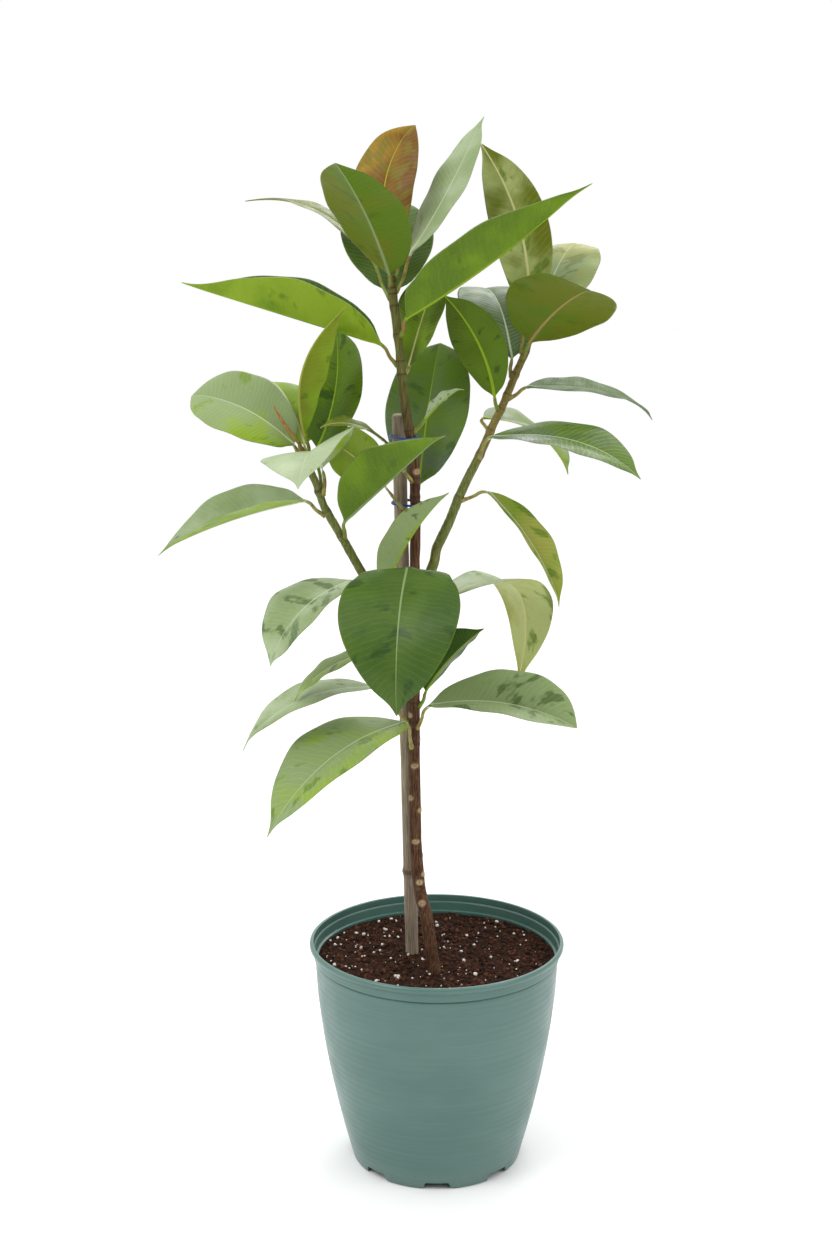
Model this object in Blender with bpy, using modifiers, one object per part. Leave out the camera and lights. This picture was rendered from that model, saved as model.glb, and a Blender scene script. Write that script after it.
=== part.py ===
"""A potted rubber plant: nursery pot, soil, cane, tied stem, two side shoots and their leaves.

X points right, Y away from the front, Z up. The origin is the centre of the pot's underside.
"""

import math
from collections import namedtuple

import bmesh
import bpy
import numpy as np

MM = 0.001
UP = np.array([0.0, 0.0, 1.0])
GAP = 0.3 * MM  # clearance between pieces that touch

# Pot
RIM_RADIUS = 120 * MM
POT_HEIGHT = 216 * MM
FOOT_RADIUS = 80 * MM
LIP_HEIGHT = 6 * MM
BAND_HEIGHT = 9 * MM  # smooth band between the lip and the step in the wall
BAND_STEP = 2 * MM
LIP_OVERHANG = 3.5 * MM
WALL = 1.8 * MM
FLOOR = 2.5 * MM
WALL_BULGE = 1.65  # how early the wall widens: 1 is a straight cone
POT_STEPS = 40
NOTCHES = 8
NOTCH_WIDE = 28 * MM
NOTCH_NARROW = 20 * MM
NOTCH_HEIGHT = 7 * MM

# Soil
SOIL_BELOW_RIM = 20 * MM
SOIL_MOUND = 2.5 * MM

# Stems: centre line points in millimetres from the ground up, and the radius at each end
Stem = namedtuple("Stem", "points root_radius top_radius")
STEMS = {
    "main_stem": Stem(
        [
            (2, -35, 140), (-2, -30, 195), (-6, -26, 220), (-10, -20, 246), (-15, -13, 264),
            (-18, -8, 285), (-20, -5, 315), (-21, -3, 388), (-21, -3, 450), (-21, -4, 544),
            (-20, -7, 620), (-21, -10, 676), (-26, -12, 700), (-30, -12, 725), (-34, -10, 769),
            (-37, -8, 795), (-40, -6, 816), (-41, -5, 832), (-41, -5, 842),
        ],
        6.4 * MM,
        3.8 * MM,
    ),
    "left_branch": Stem(
        [
            (-21, -3, 493), (-47, -16, 535), (-69, -25, 575), (-86, -33, 608), (-100, -40, 634),
            (-107, -44, 657), (-113, -47, 670), (-118, -50, 684), (-121, -51, 692),
        ],
        4.8 * MM,
        3.2 * MM,
    ),
    "right_branch": Stem(
        [
            (-20, -3, 538), (-9, 0, 562), (-3, 2, 577), (-1, 3, 590), (10, 6, 612),
            (19, 9, 635), (27, 12, 652), (39, 15, 675), (49, 18, 698), (58, 20, 716),
            (70, 24, 745), (78, 27, 762), (84, 28, 774),
        ],
        5.2 * MM,
        3.2 * MM,
    ),
}
TIP_TAPER = 0.45  # radius of a stem's last point, as a share of its top radius
STEM_SIDES = 10

# Cane
CANE_RADIUS = 6.3 * MM
CANE_FOOT = (-21, 14, 100)
CANE_TOP = (-35, 2, 712)
CANE_SIDES = 14

# Ties: height on the cane, and thickness of the wire
TIE_HEIGHTS = {"plant_tie_upper": 692 * MM, "plant_tie_lower": 632 * MM}
TIE_RADIUS = 1.1 * MM
TIE_POINTS = 20

# Leaves
BLADE_THICKNESS = 1.0 * MM
STALK_RADIUS = 1.5 * MM
RING_POINTS = 8
STALK_STATIONS = (0.0, 0.35, 0.7)
BLADE_STATIONS = (0.0, 0.05, 0.15, 0.29, 0.44, 0.59, 0.73, 0.85, 0.94)
CAP_DOME = 0.3  # height of the stalk's end cap, as a share of its radius
DRIP_TIP = 0.06  # half width of the pointed end, as a share of the blade's
SHEATH_TIP = (-143, -51, 725)
SHEATH_STANDOFF = 1.0 * MM  # distance of the sheath's root from the end of the shoot

COLOURS = {
    "pot": (0.12, 0.22, 0.19),
    "soil": (0.045, 0.022, 0.016),
    "bark": (0.10, 0.065, 0.045),
    "shoot": (0.12, 0.14, 0.05),
    "cane": (0.33, 0.27, 0.20),
    "tie": (0.04, 0.10, 0.32),
    "sheath": (0.55, 0.16, 0.06),
    "ochre": (0.36, 0.20, 0.05),
    "fresh": (0.17, 0.28, 0.05),
    "olive": (0.22, 0.26, 0.07),
    "green": (0.07, 0.16, 0.04),
    "deep": (0.04, 0.11, 0.05),
    "silver": (0.33, 0.42, 0.30),
    "sage": (0.22, 0.32, 0.20),
}

# Each leaf leaves its stem at a height. Its stalk runs from the stem's centre line to the blade,
# and the blade from there to the tip, both in millimetres. The rest is the blade's form:
#   face    compass direction that the back of the blade turns to, None for the way it points
#   arch    how far it bows up, and sway how far it bows sideways, as shares of its length
#   bend    where along the blade that bow is centred
#   roll    degrees that the blade turns about its midrib
#   fold    degrees that each half is raised from flat
#   widest  where along the blade it is widest, with base and point for how full the two ends are
Leaf = namedtuple(
    "Leaf",
    "stem height stalk blade width colour face arch sway bend roll fold widest base point",
    defaults=(None, 0.1, 0.0, 0.5, 0, 6, 0.5, 0.6, 0.8),
)
MAIN, LEFT, RIGHT = "main_stem", "left_branch", "right_branch"
LEAVES = {
    "leaf_top_ochre": Leaf(MAIN, 830, (5, 11, 12), (15, 34, 122), 60, "ochre",
                            sway=0.12, widest=0.55, point=0.42),
    "leaf_top_front": Leaf(MAIN, 826, (-2, -9, 9), (-42, -96, 92), 76, "green",
                           arch=0.05, roll=6, point=0.5),
    "leaf_top_silver": Leaf(MAIN, 821, (17, 8, 32), (63, 43, 118), 46, "silver",
                            face=60, arch=0.0, sway=-0.03, roll=15),
    "leaf_top_left": Leaf(MAIN, 816, (-18, 16, 30), (-117, 65, 50), 36, "olive", arch=0.14),
    "leaf_top_back": Leaf(MAIN, 806, (-3, 12, 12), (-9, 103, 84), 84, "deep", arch=0.05, point=0.6),
    "leaf_high_left": Leaf(MAIN, 758, (-18, 2, 16), (-176, 20, 52), 74, "fresh",
                           arch=0.0, fold=66, widest=0.42, point=1.2),
    "leaf_high_right": Leaf(MAIN, 782, (8, -9, 15), (153, -44, 117), 72, "fresh",
                            arch=-0.03, fold=62, widest=0.4, base=0.4, point=1.1),
    "leaf_high_back": Leaf(MAIN, 747, (7, 13, 8), (32, 23, 92), 50, "olive", face=60, arch=0.05, fold=20),
    "leaf_small_pale": Leaf(MAIN, 697, (15, -4, 13), (32, -8, 28), 20, "silver",
                            arch=0.05, roll=20, fold=20, point=1.0),
    "leaf_back_broad": Leaf(MAIN, 638, (4, 16, 10), (19, 77, 122), 78, "deep", arch=0.05, point=0.38),
    "leaf_twisted": Leaf(MAIN, 655, (-24, -28, 35), (-55, -62, 22), 22, "deep",
                         arch=0.1, roll=25, fold=10),
    "leaf_middle_left": Leaf(MAIN, 624, (-28, -7, 26), (-59, -11, 47), 52, "olive", arch=0.05, roll=60),
    "leaf_rolled": Leaf(MAIN, 524, (-26, -34, 35), (56, -10, 90), 52, "sage",
                        arch=0.06, roll=20, fold=30),
    "leaf_right_arching": Leaf(MAIN, 515, (23, 12, 25), (76, 87, -106), 70, "sage",
                               arch=0.46, bend=0.64, fold=10),
    "leaf_heart": Leaf(MAIN, 505, (-6, -76, 82), (-9, -70, -114), 104, "green",
                       arch=0.22, widest=0.37, base=0.38, point=0.75),
    "leaf_mottled": Leaf(LEFT, 530, (-34, -15, 36), (-71, -40, -68), 92, "sage",
                         arch=0.16, sway=0.05, fold=10, point=0.65),
    "leaf_low_small": Leaf(MAIN, 462, (-36, -20, 38), (-74, -6, -44), 36, "olive", roll=8),
    "leaf_low_curled": Leaf(MAIN, 446, (11, -5, 14), (52, -17, 62), 60, "deep",
                            arch=0.05, roll=30, fold=25),
    "leaf_low_sage": Leaf(MAIN, 428, (-36, -7, 35), (-122, -30, -50), 72, "sage", arch=0.14, point=1.2),
    "leaf_low_right": Leaf(MAIN, 426, (14, -19, 23), (130, -53, -6), 78, "sage",
                           arch=0.09, roll=-18, fold=20, widest=0.55, point=0.45),
    "leaf_low_broad": Leaf(MAIN, 408, (-9, -19, 25), (-121, -83, -81), 100, "fresh",
                           arch=0.14, sway=0.03, fold=10, widest=0.42, point=0.85),
    "leaf_left_round": Leaf(LEFT, 681, (-9, 3, 9), (-90, 18, 42), 86, "fresh",
                            roll=30, sway=0.03, widest=0.56, point=0.36),
    "leaf_left_hidden": Leaf(LEFT, 674, (-3, 14, 15), (-33, 72, 49), 60, "olive"),
    "leaf_left_folded": Leaf(LEFT, 680, (1, -8, 21), (39, -8, 108), 44, "olive",
                             face=195, arch=-0.17, fold=58, point=1.0),
    "leaf_left_dark": Leaf(LEFT, 649, (-1, 9, 37), (16, 22, 101), 64, "deep",
                           face=70, arch=0.0, sway=-0.08, fold=22, point=0.45),
    "leaf_left_cupped": Leaf(LEFT, 648, (3, -9, 23), (-16, -73, -9), 88, "silver",
                             arch=0.3, roll=-20, fold=10),
    "leaf_left_low": Leaf(LEFT, 630, (-20, -3, 10), (-128, -20, -43), 56, "sage",
                          arch=0.04, roll=18, fold=42, widest=0.42, point=1.2),
    "leaf_left_upright": Leaf(LEFT, 607, (4, -15, 16), (85, -42, 83), 72, "green",
                              arch=0.0, fold=65, widest=0.4, point=1.15),
    "leaf_right_tall": Leaf(RIGHT, 764, (2, -1, 30), (-45, -18, 152), 52, "olive",
                            face=-95, arch=0.04, sway=0.085, fold=8, point=0.65),
    "leaf_right_pale": Leaf(RIGHT, 766, (12, 9, 24), (36, 80, 68), 84, "sage", point=0.42),
    "leaf_right_broad": Leaf(RIGHT, 760, (5, -7, 14), (45, -105, 52), 94, "olive",
                             arch=0.05, roll=22, fold=8, widest=0.52, point=0.4),
    "leaf_right_veined": Leaf(RIGHT, 744, (-3, 6, 15), (-24, 110, 57), 76, "silver",
                              arch=0.15, point=0.6),
    "leaf_right_narrow": Leaf(RIGHT, 726, (18, 3, 7), (120, 36, -32), 74, "sage",
                              bend=0.65, roll=-8, fold=4),
    "leaf_right_inner": Leaf(RIGHT, 713, (-6, -8, 14), (-46, -20, 90), 46, "deep",
                             face=-95, arch=0.0, sway=0.08, fold=8, point=0.7),
    "leaf_right_behind": Leaf(RIGHT, 695, (-6, 18, 9), (82, 34, -56), 78, "silver",
                              arch=0.15, roll=-10, fold=10),
    "leaf_right_glossy": Leaf(RIGHT, 673, (9, -10, 17), (128, -65, -29), 64, "green",
                              arch=0.12, bend=0.6, roll=-13, fold=8),
    "leaf_right_drooping": Leaf(RIGHT, 635, (27, -4, 5), (65, -25, -100), 38, "olive",
                                arch=0.07, roll=-20, fold=32),
}


def unit(vector):
    """The vector at length one."""
    return np.asarray(vector, float) / np.linalg.norm(vector)


def clear_scene():
    """Removes every object the file starts with."""
    for old in list(bpy.data.objects):
        bpy.data.objects.remove(old, do_unlink=True)


def new_collection(name):
    """A collection of that name in the scene."""
    made = bpy.data.collections.new(name)
    bpy.context.scene.collection.children.link(made)
    return made


def paint(obj, colour, roughness):
    """Gives the object a plastic-like material of its own."""
    material = bpy.data.materials.new(obj.name)
    material.use_nodes = True
    shader = material.node_tree.nodes["Principled BSDF"]
    shader.inputs["Base Color"].default_value = (*COLOURS[colour], 1.0)
    shader.inputs["Roughness"].default_value = roughness
    shader.inputs["Metallic"].default_value = 0.0
    obj.data.materials.append(material)


def add_object(name, data, collection):
    """An object of this data in the collection."""
    made = bpy.data.objects.new(name, data)
    collection.objects.link(made)
    return made


def make_cutter(obj):
    """Keeps a helper out of the model."""
    obj.hide_render = True
    obj.display_type = "WIRE"


def cut(target, cutter):
    """Takes the cutter's shape out of the target."""
    boolean = target.modifiers.new("cut " + cutter.name, "BOOLEAN")
    boolean.operation = "DIFFERENCE"
    boolean.object = cutter


def smooth(obj, sharp_degrees=40):
    """Shades a round piece smooth and keeps its real edges."""
    obj.data.shade_smooth()
    obj.data.set_sharp_from_angle(angle=math.radians(sharp_degrees))


def turned(name, profile, collection):
    """A profile of (radius, height) turned about Z, running down its outer side."""
    mesh = bpy.data.meshes.new(name)
    points = [(radius, 0.0, height) for radius, height in profile]
    edges = [(i, i + 1) for i in range(len(points) - 1)]
    mesh.from_pydata(points, edges, [])
    obj = add_object(name, mesh, collection)
    screw = obj.modifiers.new("turn", "SCREW")
    screw.steps = POT_STEPS
    screw.render_steps = POT_STEPS
    screw.use_merge_vertices = True
    screw.merge_threshold = 0.00002
    screw.use_smooth_shade = True
    return obj


def tube(name, points, radii, sides, collection, closed=False):
    """A mesh tube through the points, with a radius at each."""
    curve = bpy.data.curves.new(name, "CURVE")
    curve.dimensions = "3D"
    curve.bevel_depth = 1.0
    curve.bevel_resolution = sides // 2 - 2
    curve.use_fill_caps = not closed
    spline = curve.splines.new("POLY")
    spline.points.add(len(points) - 1)
    spline.use_cyclic_u = closed
    for target, point, radius in zip(spline.points, points, radii):
        target.co = (*point, 1.0)
        target.radius = radius
    guide = add_object(name + "_guide", curve, collection)
    bpy.context.view_layer.update()
    evaluated = guide.evaluated_get(bpy.context.evaluated_depsgraph_get())
    mesh = bpy.data.meshes.new_from_object(evaluated)
    mesh.name = name
    bpy.data.objects.remove(guide, do_unlink=True)
    shape = bmesh.new()
    shape.from_mesh(mesh)
    bmesh.ops.remove_doubles(shape, verts=shape.verts, dist=0.000001)
    bmesh.ops.recalc_face_normals(shape, faces=shape.faces)
    shape.to_mesh(mesh)
    shape.free()
    obj = add_object(name, mesh, collection)
    smooth(obj)
    return obj


# Pot and soil


def wall_radius(height):
    """Outer radius of the pot's wall below the step."""
    neck_height = POT_HEIGHT - LIP_HEIGHT - BAND_HEIGHT
    neck_radius = RIM_RADIUS - LIP_OVERHANG - BAND_STEP
    share = min(height / neck_height, 1.0)
    return FOOT_RADIUS + (neck_radius - FOOT_RADIUS) * (1 - (1 - share) ** WALL_BULGE)


def wall_heights(low, high, count):
    """Even heights up the wall."""
    return [low + (high - low) * i / (count - 1) for i in range(count)]


def pot_profile():
    """Lip, band, wall, flat underside, then up the inside to the floor's centre."""
    band_top = POT_HEIGHT - LIP_HEIGHT
    band_bottom = band_top - BAND_HEIGHT
    band_radius = RIM_RADIUS - LIP_OVERHANG
    outside = [
        (RIM_RADIUS - 3 * MM, POT_HEIGHT),
        (RIM_RADIUS - 1 * MM, POT_HEIGHT - 0.8 * MM),
        (RIM_RADIUS, POT_HEIGHT - 2.5 * MM),
        (RIM_RADIUS - 0.3 * MM, band_top + 0.8 * MM),
        (RIM_RADIUS - 1.2 * MM, band_top),
        (band_radius, band_top - 0.4 * MM),
        (band_radius - 0.4 * MM, band_bottom + 0.4 * MM),
        (wall_radius(band_bottom), band_bottom - 0.6 * MM),
    ]
    heights = wall_heights(1 * MM, band_bottom - 6 * MM, 8)
    wall = [(wall_radius(height), height) for height in reversed(heights)]
    underside = [(FOOT_RADIUS - 0.8 * MM, 0.0), (0.0, 0.0)]
    floor = [(0.0, FLOOR), (wall_radius(FLOOR) - WALL, FLOOR)]
    inside = [(wall_radius(height) - WALL, height) for height in heights[1:]]
    mouth = [
        (band_radius - 0.4 * MM - WALL, band_bottom),
        (band_radius - WALL, band_top + 2 * MM),
        (RIM_RADIUS - 4.6 * MM, POT_HEIGHT - 0.8 * MM),
        (RIM_RADIUS - 3 * MM, POT_HEIGHT),
    ]
    return outside + wall + underside + floor + inside + mouth


def notch_cutter(index, collection):
    """One drainage notch through the foot: wide at the ground and narrower above."""
    angle = 2 * math.pi * index / NOTCHES - math.pi / 2
    shape = bmesh.new()
    bmesh.ops.create_cube(shape, size=1.0)
    inner, outer = FOOT_RADIUS - 9 * MM, FOOT_RADIUS + 8 * MM
    for vertex in shape.verts:
        above = vertex.co.z > 0
        width = NOTCH_NARROW if above else NOTCH_WIDE
        height = NOTCH_HEIGHT if above else -2 * MM
        vertex.co = (
            inner if vertex.co.x < 0 else outer,
            width / 2 * (-1 if vertex.co.y < 0 else 1),
            height,
        )
    bmesh.ops.recalc_face_normals(shape, faces=shape.faces)
    mesh = bpy.data.meshes.new("notch")
    shape.to_mesh(mesh)
    shape.free()
    cutter = add_object(f"notch_cutter_{index + 1}", mesh, collection)
    cutter.rotation_euler.z = angle
    make_cutter(cutter)
    return cutter


def build_pot(parts, cutters):
    """The turned pot with its notches cut."""
    pot = turned("pot", pot_profile(), parts)
    for index in range(NOTCHES):
        cut(pot, notch_cutter(index, cutters))
    paint(pot, "pot", 0.45)
    return pot


def soil_profile():
    """The soil fills the pot to just below the rim, a little higher in the middle and at the wall."""
    top = POT_HEIGHT - SOIL_BELOW_RIM
    edge = wall_radius(top) - WALL - GAP
    shares = (0.0, 0.25, 0.5, 0.75, 0.9, 1.0)
    surface = [(edge * share, top + SOIL_MOUND * math.cos(2.2 * math.pi * share)) for share in shares]
    heights = wall_heights(FLOOR + GAP, top - 8 * MM, 7)
    side = [(wall_radius(height) - WALL - 2 * GAP, height) for height in reversed(heights)]
    return surface + side + [(0.0, FLOOR + GAP)]


def build_soil(parts, cutters):
    """The soil with a close hole for the stem and one for the cane."""
    soil = turned("soil", soil_profile(), parts)
    stem_hole = stem_tube("main_stem", "stem_hole", cutters, GAP)
    cane_hole = cane_tube("cane_hole", cutters, GAP)
    for hole in (stem_hole, cane_hole):
        make_cutter(hole)
        cut(soil, hole)
    paint(soil, "soil", 0.95)
    return soil


# Stems, cane and ties


def stem_radii(stem):
    """The radius at each point of a stem: an even taper, closed in at the tip."""
    points = np.array(stem.points, float)
    steps = np.linalg.norm(np.diff(points, axis=0), axis=1)
    along = np.concatenate([[0.0], np.cumsum(steps)]) / steps.sum()
    radii = stem.root_radius + (stem.top_radius - stem.root_radius) * along
    radii[-1] *= TIP_TAPER
    return radii


def stem_tube(name, label, collection, grow=0.0):
    """A stem as a tube, or the same tube a little thicker as a cutter."""
    stem = STEMS[name]
    points = [tuple(MM * c for c in point) for point in stem.points]
    radii = stem_radii(stem) + grow
    if grow:
        points[0] = tuple(MM * np.array(stem.points[0]) - grow * UP)
    return tube(label, points, radii, STEM_SIDES, collection)


def stem_at(name, height):
    """Centre, direction and radius of a stem at a height in metres."""
    stem = STEMS[name]
    points = np.array(stem.points, float) * MM
    heights = points[:, 2]
    centre = np.array([np.interp(height, heights, points[:, axis]) for axis in range(3)])
    index = min(max(int(np.searchsorted(heights, height)), 1), len(points) - 1)
    direction = unit(points[index] - points[index - 1])
    radius = float(np.interp(height, heights, stem_radii(stem)))
    return centre, direction, radius


def cane_at(height):
    """Centre of the cane at a height in metres."""
    foot, top = np.array(CANE_FOOT) * MM, np.array(CANE_TOP) * MM
    return foot + (top - foot) * (height - foot[2]) / (top[2] - foot[2])


def cane_tube(label, collection, grow=0.0):
    """The straight cane with a slightly rounded top, or a thicker one as a cutter."""
    foot, top = np.array(CANE_FOOT) * MM, np.array(CANE_TOP) * MM
    along = unit(top - foot)
    points = [foot - grow * along, top - 2 * MM * along, top]
    radii = [CANE_RADIUS + grow, CANE_RADIUS + grow, 0.75 * CANE_RADIUS + grow]
    return tube(label, [tuple(point) for point in points], radii, CANE_SIDES, collection)


def build_stems(parts, cutters):
    """The main stem, and the two side shoots cut back to its surface."""
    main = stem_tube("main_stem", "main_stem", parts)
    paint(main, "bark", 0.7)
    saddle = stem_tube("main_stem", "saddle_cutter", cutters, GAP)
    make_cutter(saddle)
    for name in ("left_branch", "right_branch"):
        branch = stem_tube(name, name, parts)
        cut(branch, saddle)
        paint(branch, "shoot", 0.6)


def build_cane(parts):
    """The wooden support cane."""
    cane = cane_tube("support_cane", parts)
    paint(cane, "cane", 0.8)


def build_tie(name, height, parts):
    """A closed wire loop round the stem and the cane."""
    stem_centre, _, stem_radius = stem_at("main_stem", height)
    circles = [(stem_centre, stem_radius), (cane_at(height), CANE_RADIUS)]
    points = []
    for index in range(TIE_POINTS):
        angle = 2 * math.pi * index / TIE_POINTS
        outward = np.array([math.cos(angle), math.sin(angle), 0.0])
        centre, radius = max(circles, key=lambda circle: circle[0] @ outward + circle[1])
        point = centre + outward * (radius + TIE_RADIUS + 2 * GAP)
        points.append((point[0], point[1], height))
    radii = [TIE_RADIUS] * TIE_POINTS
    tie = tube(name, points, radii, 6, parts, closed=True)
    paint(tie, "tie", 0.4)


def build_sheath(parts):
    """The pointed bud sheath beside the tip of the left shoot."""
    root = np.array(STEMS["left_branch"].points[-1]) * MM
    tip = np.array(SHEATH_TIP) * MM
    along = unit(tip - root)
    start = root + SHEATH_STANDOFF * along
    length = np.linalg.norm(tip - start)
    points, radii = [], []
    for share in (0.0, 0.12, 0.3, 0.5, 0.75, 1.0):
        sag = 0.06 * length * math.sin(math.pi * share)
        points.append(tuple(start + share * (tip - start) - sag * UP))
        radii.append(MM * (0.4 + 2.1 * (1 - share) ** 0.8 * min(1.0, 0.5 + 4 * share)))
    sheath = tube("bud_sheath", points, radii, 8, parts)
    paint(sheath, "sheath", 0.5)


# Leaves


def half_width(leaf, share):
    """Half the blade's width at a share of its length."""
    if share < leaf.widest:
        full = math.sin(math.pi / 2 * share / leaf.widest) ** leaf.base
    else:
        left = max(0.0, 1 - (share - leaf.widest) / (0.96 - leaf.widest))
        full = max(math.sin(math.pi / 2 * left) ** leaf.point, DRIP_TIP)
    return MM * leaf.width / 2 * full


def blade_side(leaf, chord):
    """The level direction across the blade."""
    if leaf.face is None:
        out = np.array([chord[0], chord[1], 0.0])
    else:
        out = np.array([math.cos(math.radians(leaf.face)), math.sin(math.radians(leaf.face)), 0.0])
    side = np.cross(UP, unit(out))
    return unit(side - (side @ chord) * chord)


def leaf_frame(leaf):
    """Start of the stalk and its way out, start of the blade, its bow point, tip and side."""
    centre, along, radius = stem_at(leaf.stem, leaf.height * MM)
    stalk = np.array(leaf.stalk, float) * MM
    outward = unit(stalk - (stalk @ along) * along)
    leave = unit(0.35 * outward + unit(stalk))
    tilt = math.sqrt(1 - (leave @ outward) ** 2)
    # Half the clearance is enough here: the flats of the many-sided stem and stalk give the rest.
    start = centre + outward * (radius + GAP / 2 + STALK_RADIUS * max(tilt, CAP_DOME))
    base = centre + stalk
    reach = np.array(leaf.blade, float) * MM
    length = np.linalg.norm(reach)
    chord = reach / length
    side = blade_side(leaf, chord)
    above = np.cross(chord, side)
    bow = base + leaf.bend * reach + 2 * leaf.arch * length * above + 2 * leaf.sway * length * side
    return start, leave, base, bow, base + reach, side


def stalk_point(share, start, leave, base, arrive):
    """A point of the stalk's cubic curve and its direction there."""
    pull = np.linalg.norm(base - start) / 3
    first, second = start + pull * leave, base - pull * arrive
    rest = 1 - share
    point = rest**3 * start + 3 * rest**2 * share * first + 3 * rest * share**2 * second + share**3 * base
    slope = rest**2 * (first - start) + 2 * rest * share * (second - first) + share**2 * (base - second)
    return point, unit(slope)


def leaf_rings(leaf):
    """The rings of points along the stalk and the blade, the cap's centre, and the tip."""
    start, leave, base, bow, tip, side = leaf_frame(leaf)
    arrive = unit(bow - base)
    turn = math.radians(leaf.roll)
    fold = math.radians(leaf.fold)
    angles = [2 * math.pi * index / RING_POINTS for index in range(RING_POINTS)]
    rings = []
    for share in STALK_STATIONS:
        point, along = stalk_point(share, start, leave, base, arrive)
        across = unit(side - (side @ along) * along)
        above = np.cross(along, across)
        rings.append([
            point + STALK_RADIUS * (math.cos(angle) * across + math.sin(angle) * above)
            for angle in angles
        ])
    for share in BLADE_STATIONS:
        rest = 1 - share
        point = rest**2 * base + 2 * rest * share * bow + share**2 * tip
        along = unit(rest * (bow - base) + share * (tip - bow))
        level = unit(side - (side @ along) * along)
        above = np.cross(along, level) * math.cos(turn) + level * math.sin(turn)
        across = np.cross(above, along)
        full = BLADE_THICKNESS / 2
        depth = full + (STALK_RADIUS - full) * math.exp(-14 * share)
        width = max(half_width(leaf, share), STALK_RADIUS * (1 - share) ** 2)
        rings.append([
            point
            + width * math.cos(angle) * math.cos(fold) * across
            + (width * abs(math.cos(angle)) * math.sin(fold) + depth * math.sin(angle)) * above
            for angle in angles
        ])
    cap = start - CAP_DOME * STALK_RADIUS * leave
    return rings, cap, tip


def build_leaf(name, leaf, parts):
    """One closed leaf: a loft from the round stalk to the thin, pointed blade."""
    rings, cap, tip = leaf_rings(leaf)
    shape = bmesh.new()
    loops = [[shape.verts.new(point) for point in ring] for ring in rings]
    cap_vertex, tip_vertex = shape.verts.new(cap), shape.verts.new(tip)
    for index in range(RING_POINTS):
        after = (index + 1) % RING_POINTS
        shape.faces.new((cap_vertex, loops[0][after], loops[0][index]))
        shape.faces.new((tip_vertex, loops[-1][index], loops[-1][after]))
        for low, high in zip(loops, loops[1:]):
            shape.faces.new((low[index], low[after], high[after], high[index]))
    bmesh.ops.triangulate(shape, faces=shape.faces)
    bmesh.ops.recalc_face_normals(shape, faces=shape.faces)
    mesh = bpy.data.meshes.new(name)
    shape.to_mesh(mesh)
    shape.free()
    obj = add_object(name, mesh, parts)
    smooth(obj, 70)
    paint(obj, leaf.colour, 0.4)


def main():
    clear_scene()
    parts = new_collection("potted_rubber_plant")
    cutters = new_collection("cutters")
    build_pot(parts, cutters)
    build_soil(parts, cutters)
    build_stems(parts, cutters)
    build_cane(parts)
    for name, height in TIE_HEIGHTS.items():
        build_tie(name, height, parts)
    build_sheath(parts)
    for name, leaf in LEAVES.items():
        build_leaf(name, leaf, parts)


main()
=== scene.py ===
"""The look of the potted rubber plant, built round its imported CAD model.

X points right, Y away from the front, Z up, in metres. Each leaf, stem, tie and the pot is made again in
finer detail from the shape of its CAD node, so every piece lies where the CAD says.
"""

import math
from collections import namedtuple

import bmesh
import bpy
import numpy as np
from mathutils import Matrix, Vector, noise


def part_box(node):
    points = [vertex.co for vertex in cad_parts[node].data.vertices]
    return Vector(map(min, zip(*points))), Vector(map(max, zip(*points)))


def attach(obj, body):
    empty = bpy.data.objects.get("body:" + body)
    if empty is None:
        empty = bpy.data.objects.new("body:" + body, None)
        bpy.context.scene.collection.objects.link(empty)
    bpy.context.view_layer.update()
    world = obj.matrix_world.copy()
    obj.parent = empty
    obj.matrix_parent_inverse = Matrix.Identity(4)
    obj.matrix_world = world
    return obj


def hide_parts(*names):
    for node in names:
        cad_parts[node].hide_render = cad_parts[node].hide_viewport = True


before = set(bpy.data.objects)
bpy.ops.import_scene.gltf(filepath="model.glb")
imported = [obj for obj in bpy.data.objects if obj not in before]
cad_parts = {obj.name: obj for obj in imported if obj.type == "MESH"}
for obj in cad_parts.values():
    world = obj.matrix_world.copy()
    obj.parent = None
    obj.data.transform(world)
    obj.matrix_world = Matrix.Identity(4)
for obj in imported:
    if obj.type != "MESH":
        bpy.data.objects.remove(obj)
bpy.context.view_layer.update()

MM = 0.001
UP = np.array([0.0, 0.0, 1.0])
RIGHT = np.array([1.0, 0.0, 0.0])
FRONT_ANGLE = -90  # degrees round a stem, seen from above, of the side facing the front

# Camera and light
CAMERA_PLACE = (-0.0195, -1.690, 0.895)
CAMERA_PITCH = 12.5  # degrees below level
LENS = 54.8
SENSOR = 36.0
LIT_POINT = (0.0, 0.0, 0.55)
LIGHTS = (  # name, place, side in metres and power in watts
    ("key_light", (-1.6, -1.2, 2.3), 1.3, 30.0),
    ("fill_light", (1.8, -0.9, 1.5), 1.4, 12.0),
    ("back_light", (0.5, 1.9, 2.2), 1.2, 18.0),
)
FRONT_GLOW, BACK_GLOW, TOP_GLOW = 0.10, 1.0, 1.25  # how strongly each side of the studio lights
FLOOR_HALF = 12.0

# Leaf shape
CAD_RING = 8
CAD_RINGS = 12
STALK_RINGS = 3
STALK_STEPS = 9
BLADE_STEPS = 46
BLADE_KIND, UNDER_KIND, STALK_KIND = 0, 1, 2  # which of a leaf's three materials a face takes
ACROSS = (0.0, 0.022, 0.05, 0.1, 0.19, 0.32, 0.47, 0.62, 0.76, 0.88, 0.96, 1.0)
PLATE = 0.32 * MM  # half the thickness of the blade
RIB_HEIGHT = 1.1 * MM
RIB_WIDTH = 1.3 * MM
GROOVE = 0.35 * MM
PUCKER = 0.035  # how far each half of the blade swells, as a share of its width
RUFFLE = 0.8 * MM
CURL_START = 0.84  # share of the blade where its pointed tip begins to curl
STALK_HALF = 1.5 * MM
STALK_FLARE = 0.45
FLARE_LENGTH = 4 * MM
STALK_SINK = 3.0 * MM  # how far a stalk runs on into its stem
BLADE_BLEND = 0.08  # share of the blade over which the stalk turns into it
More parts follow.
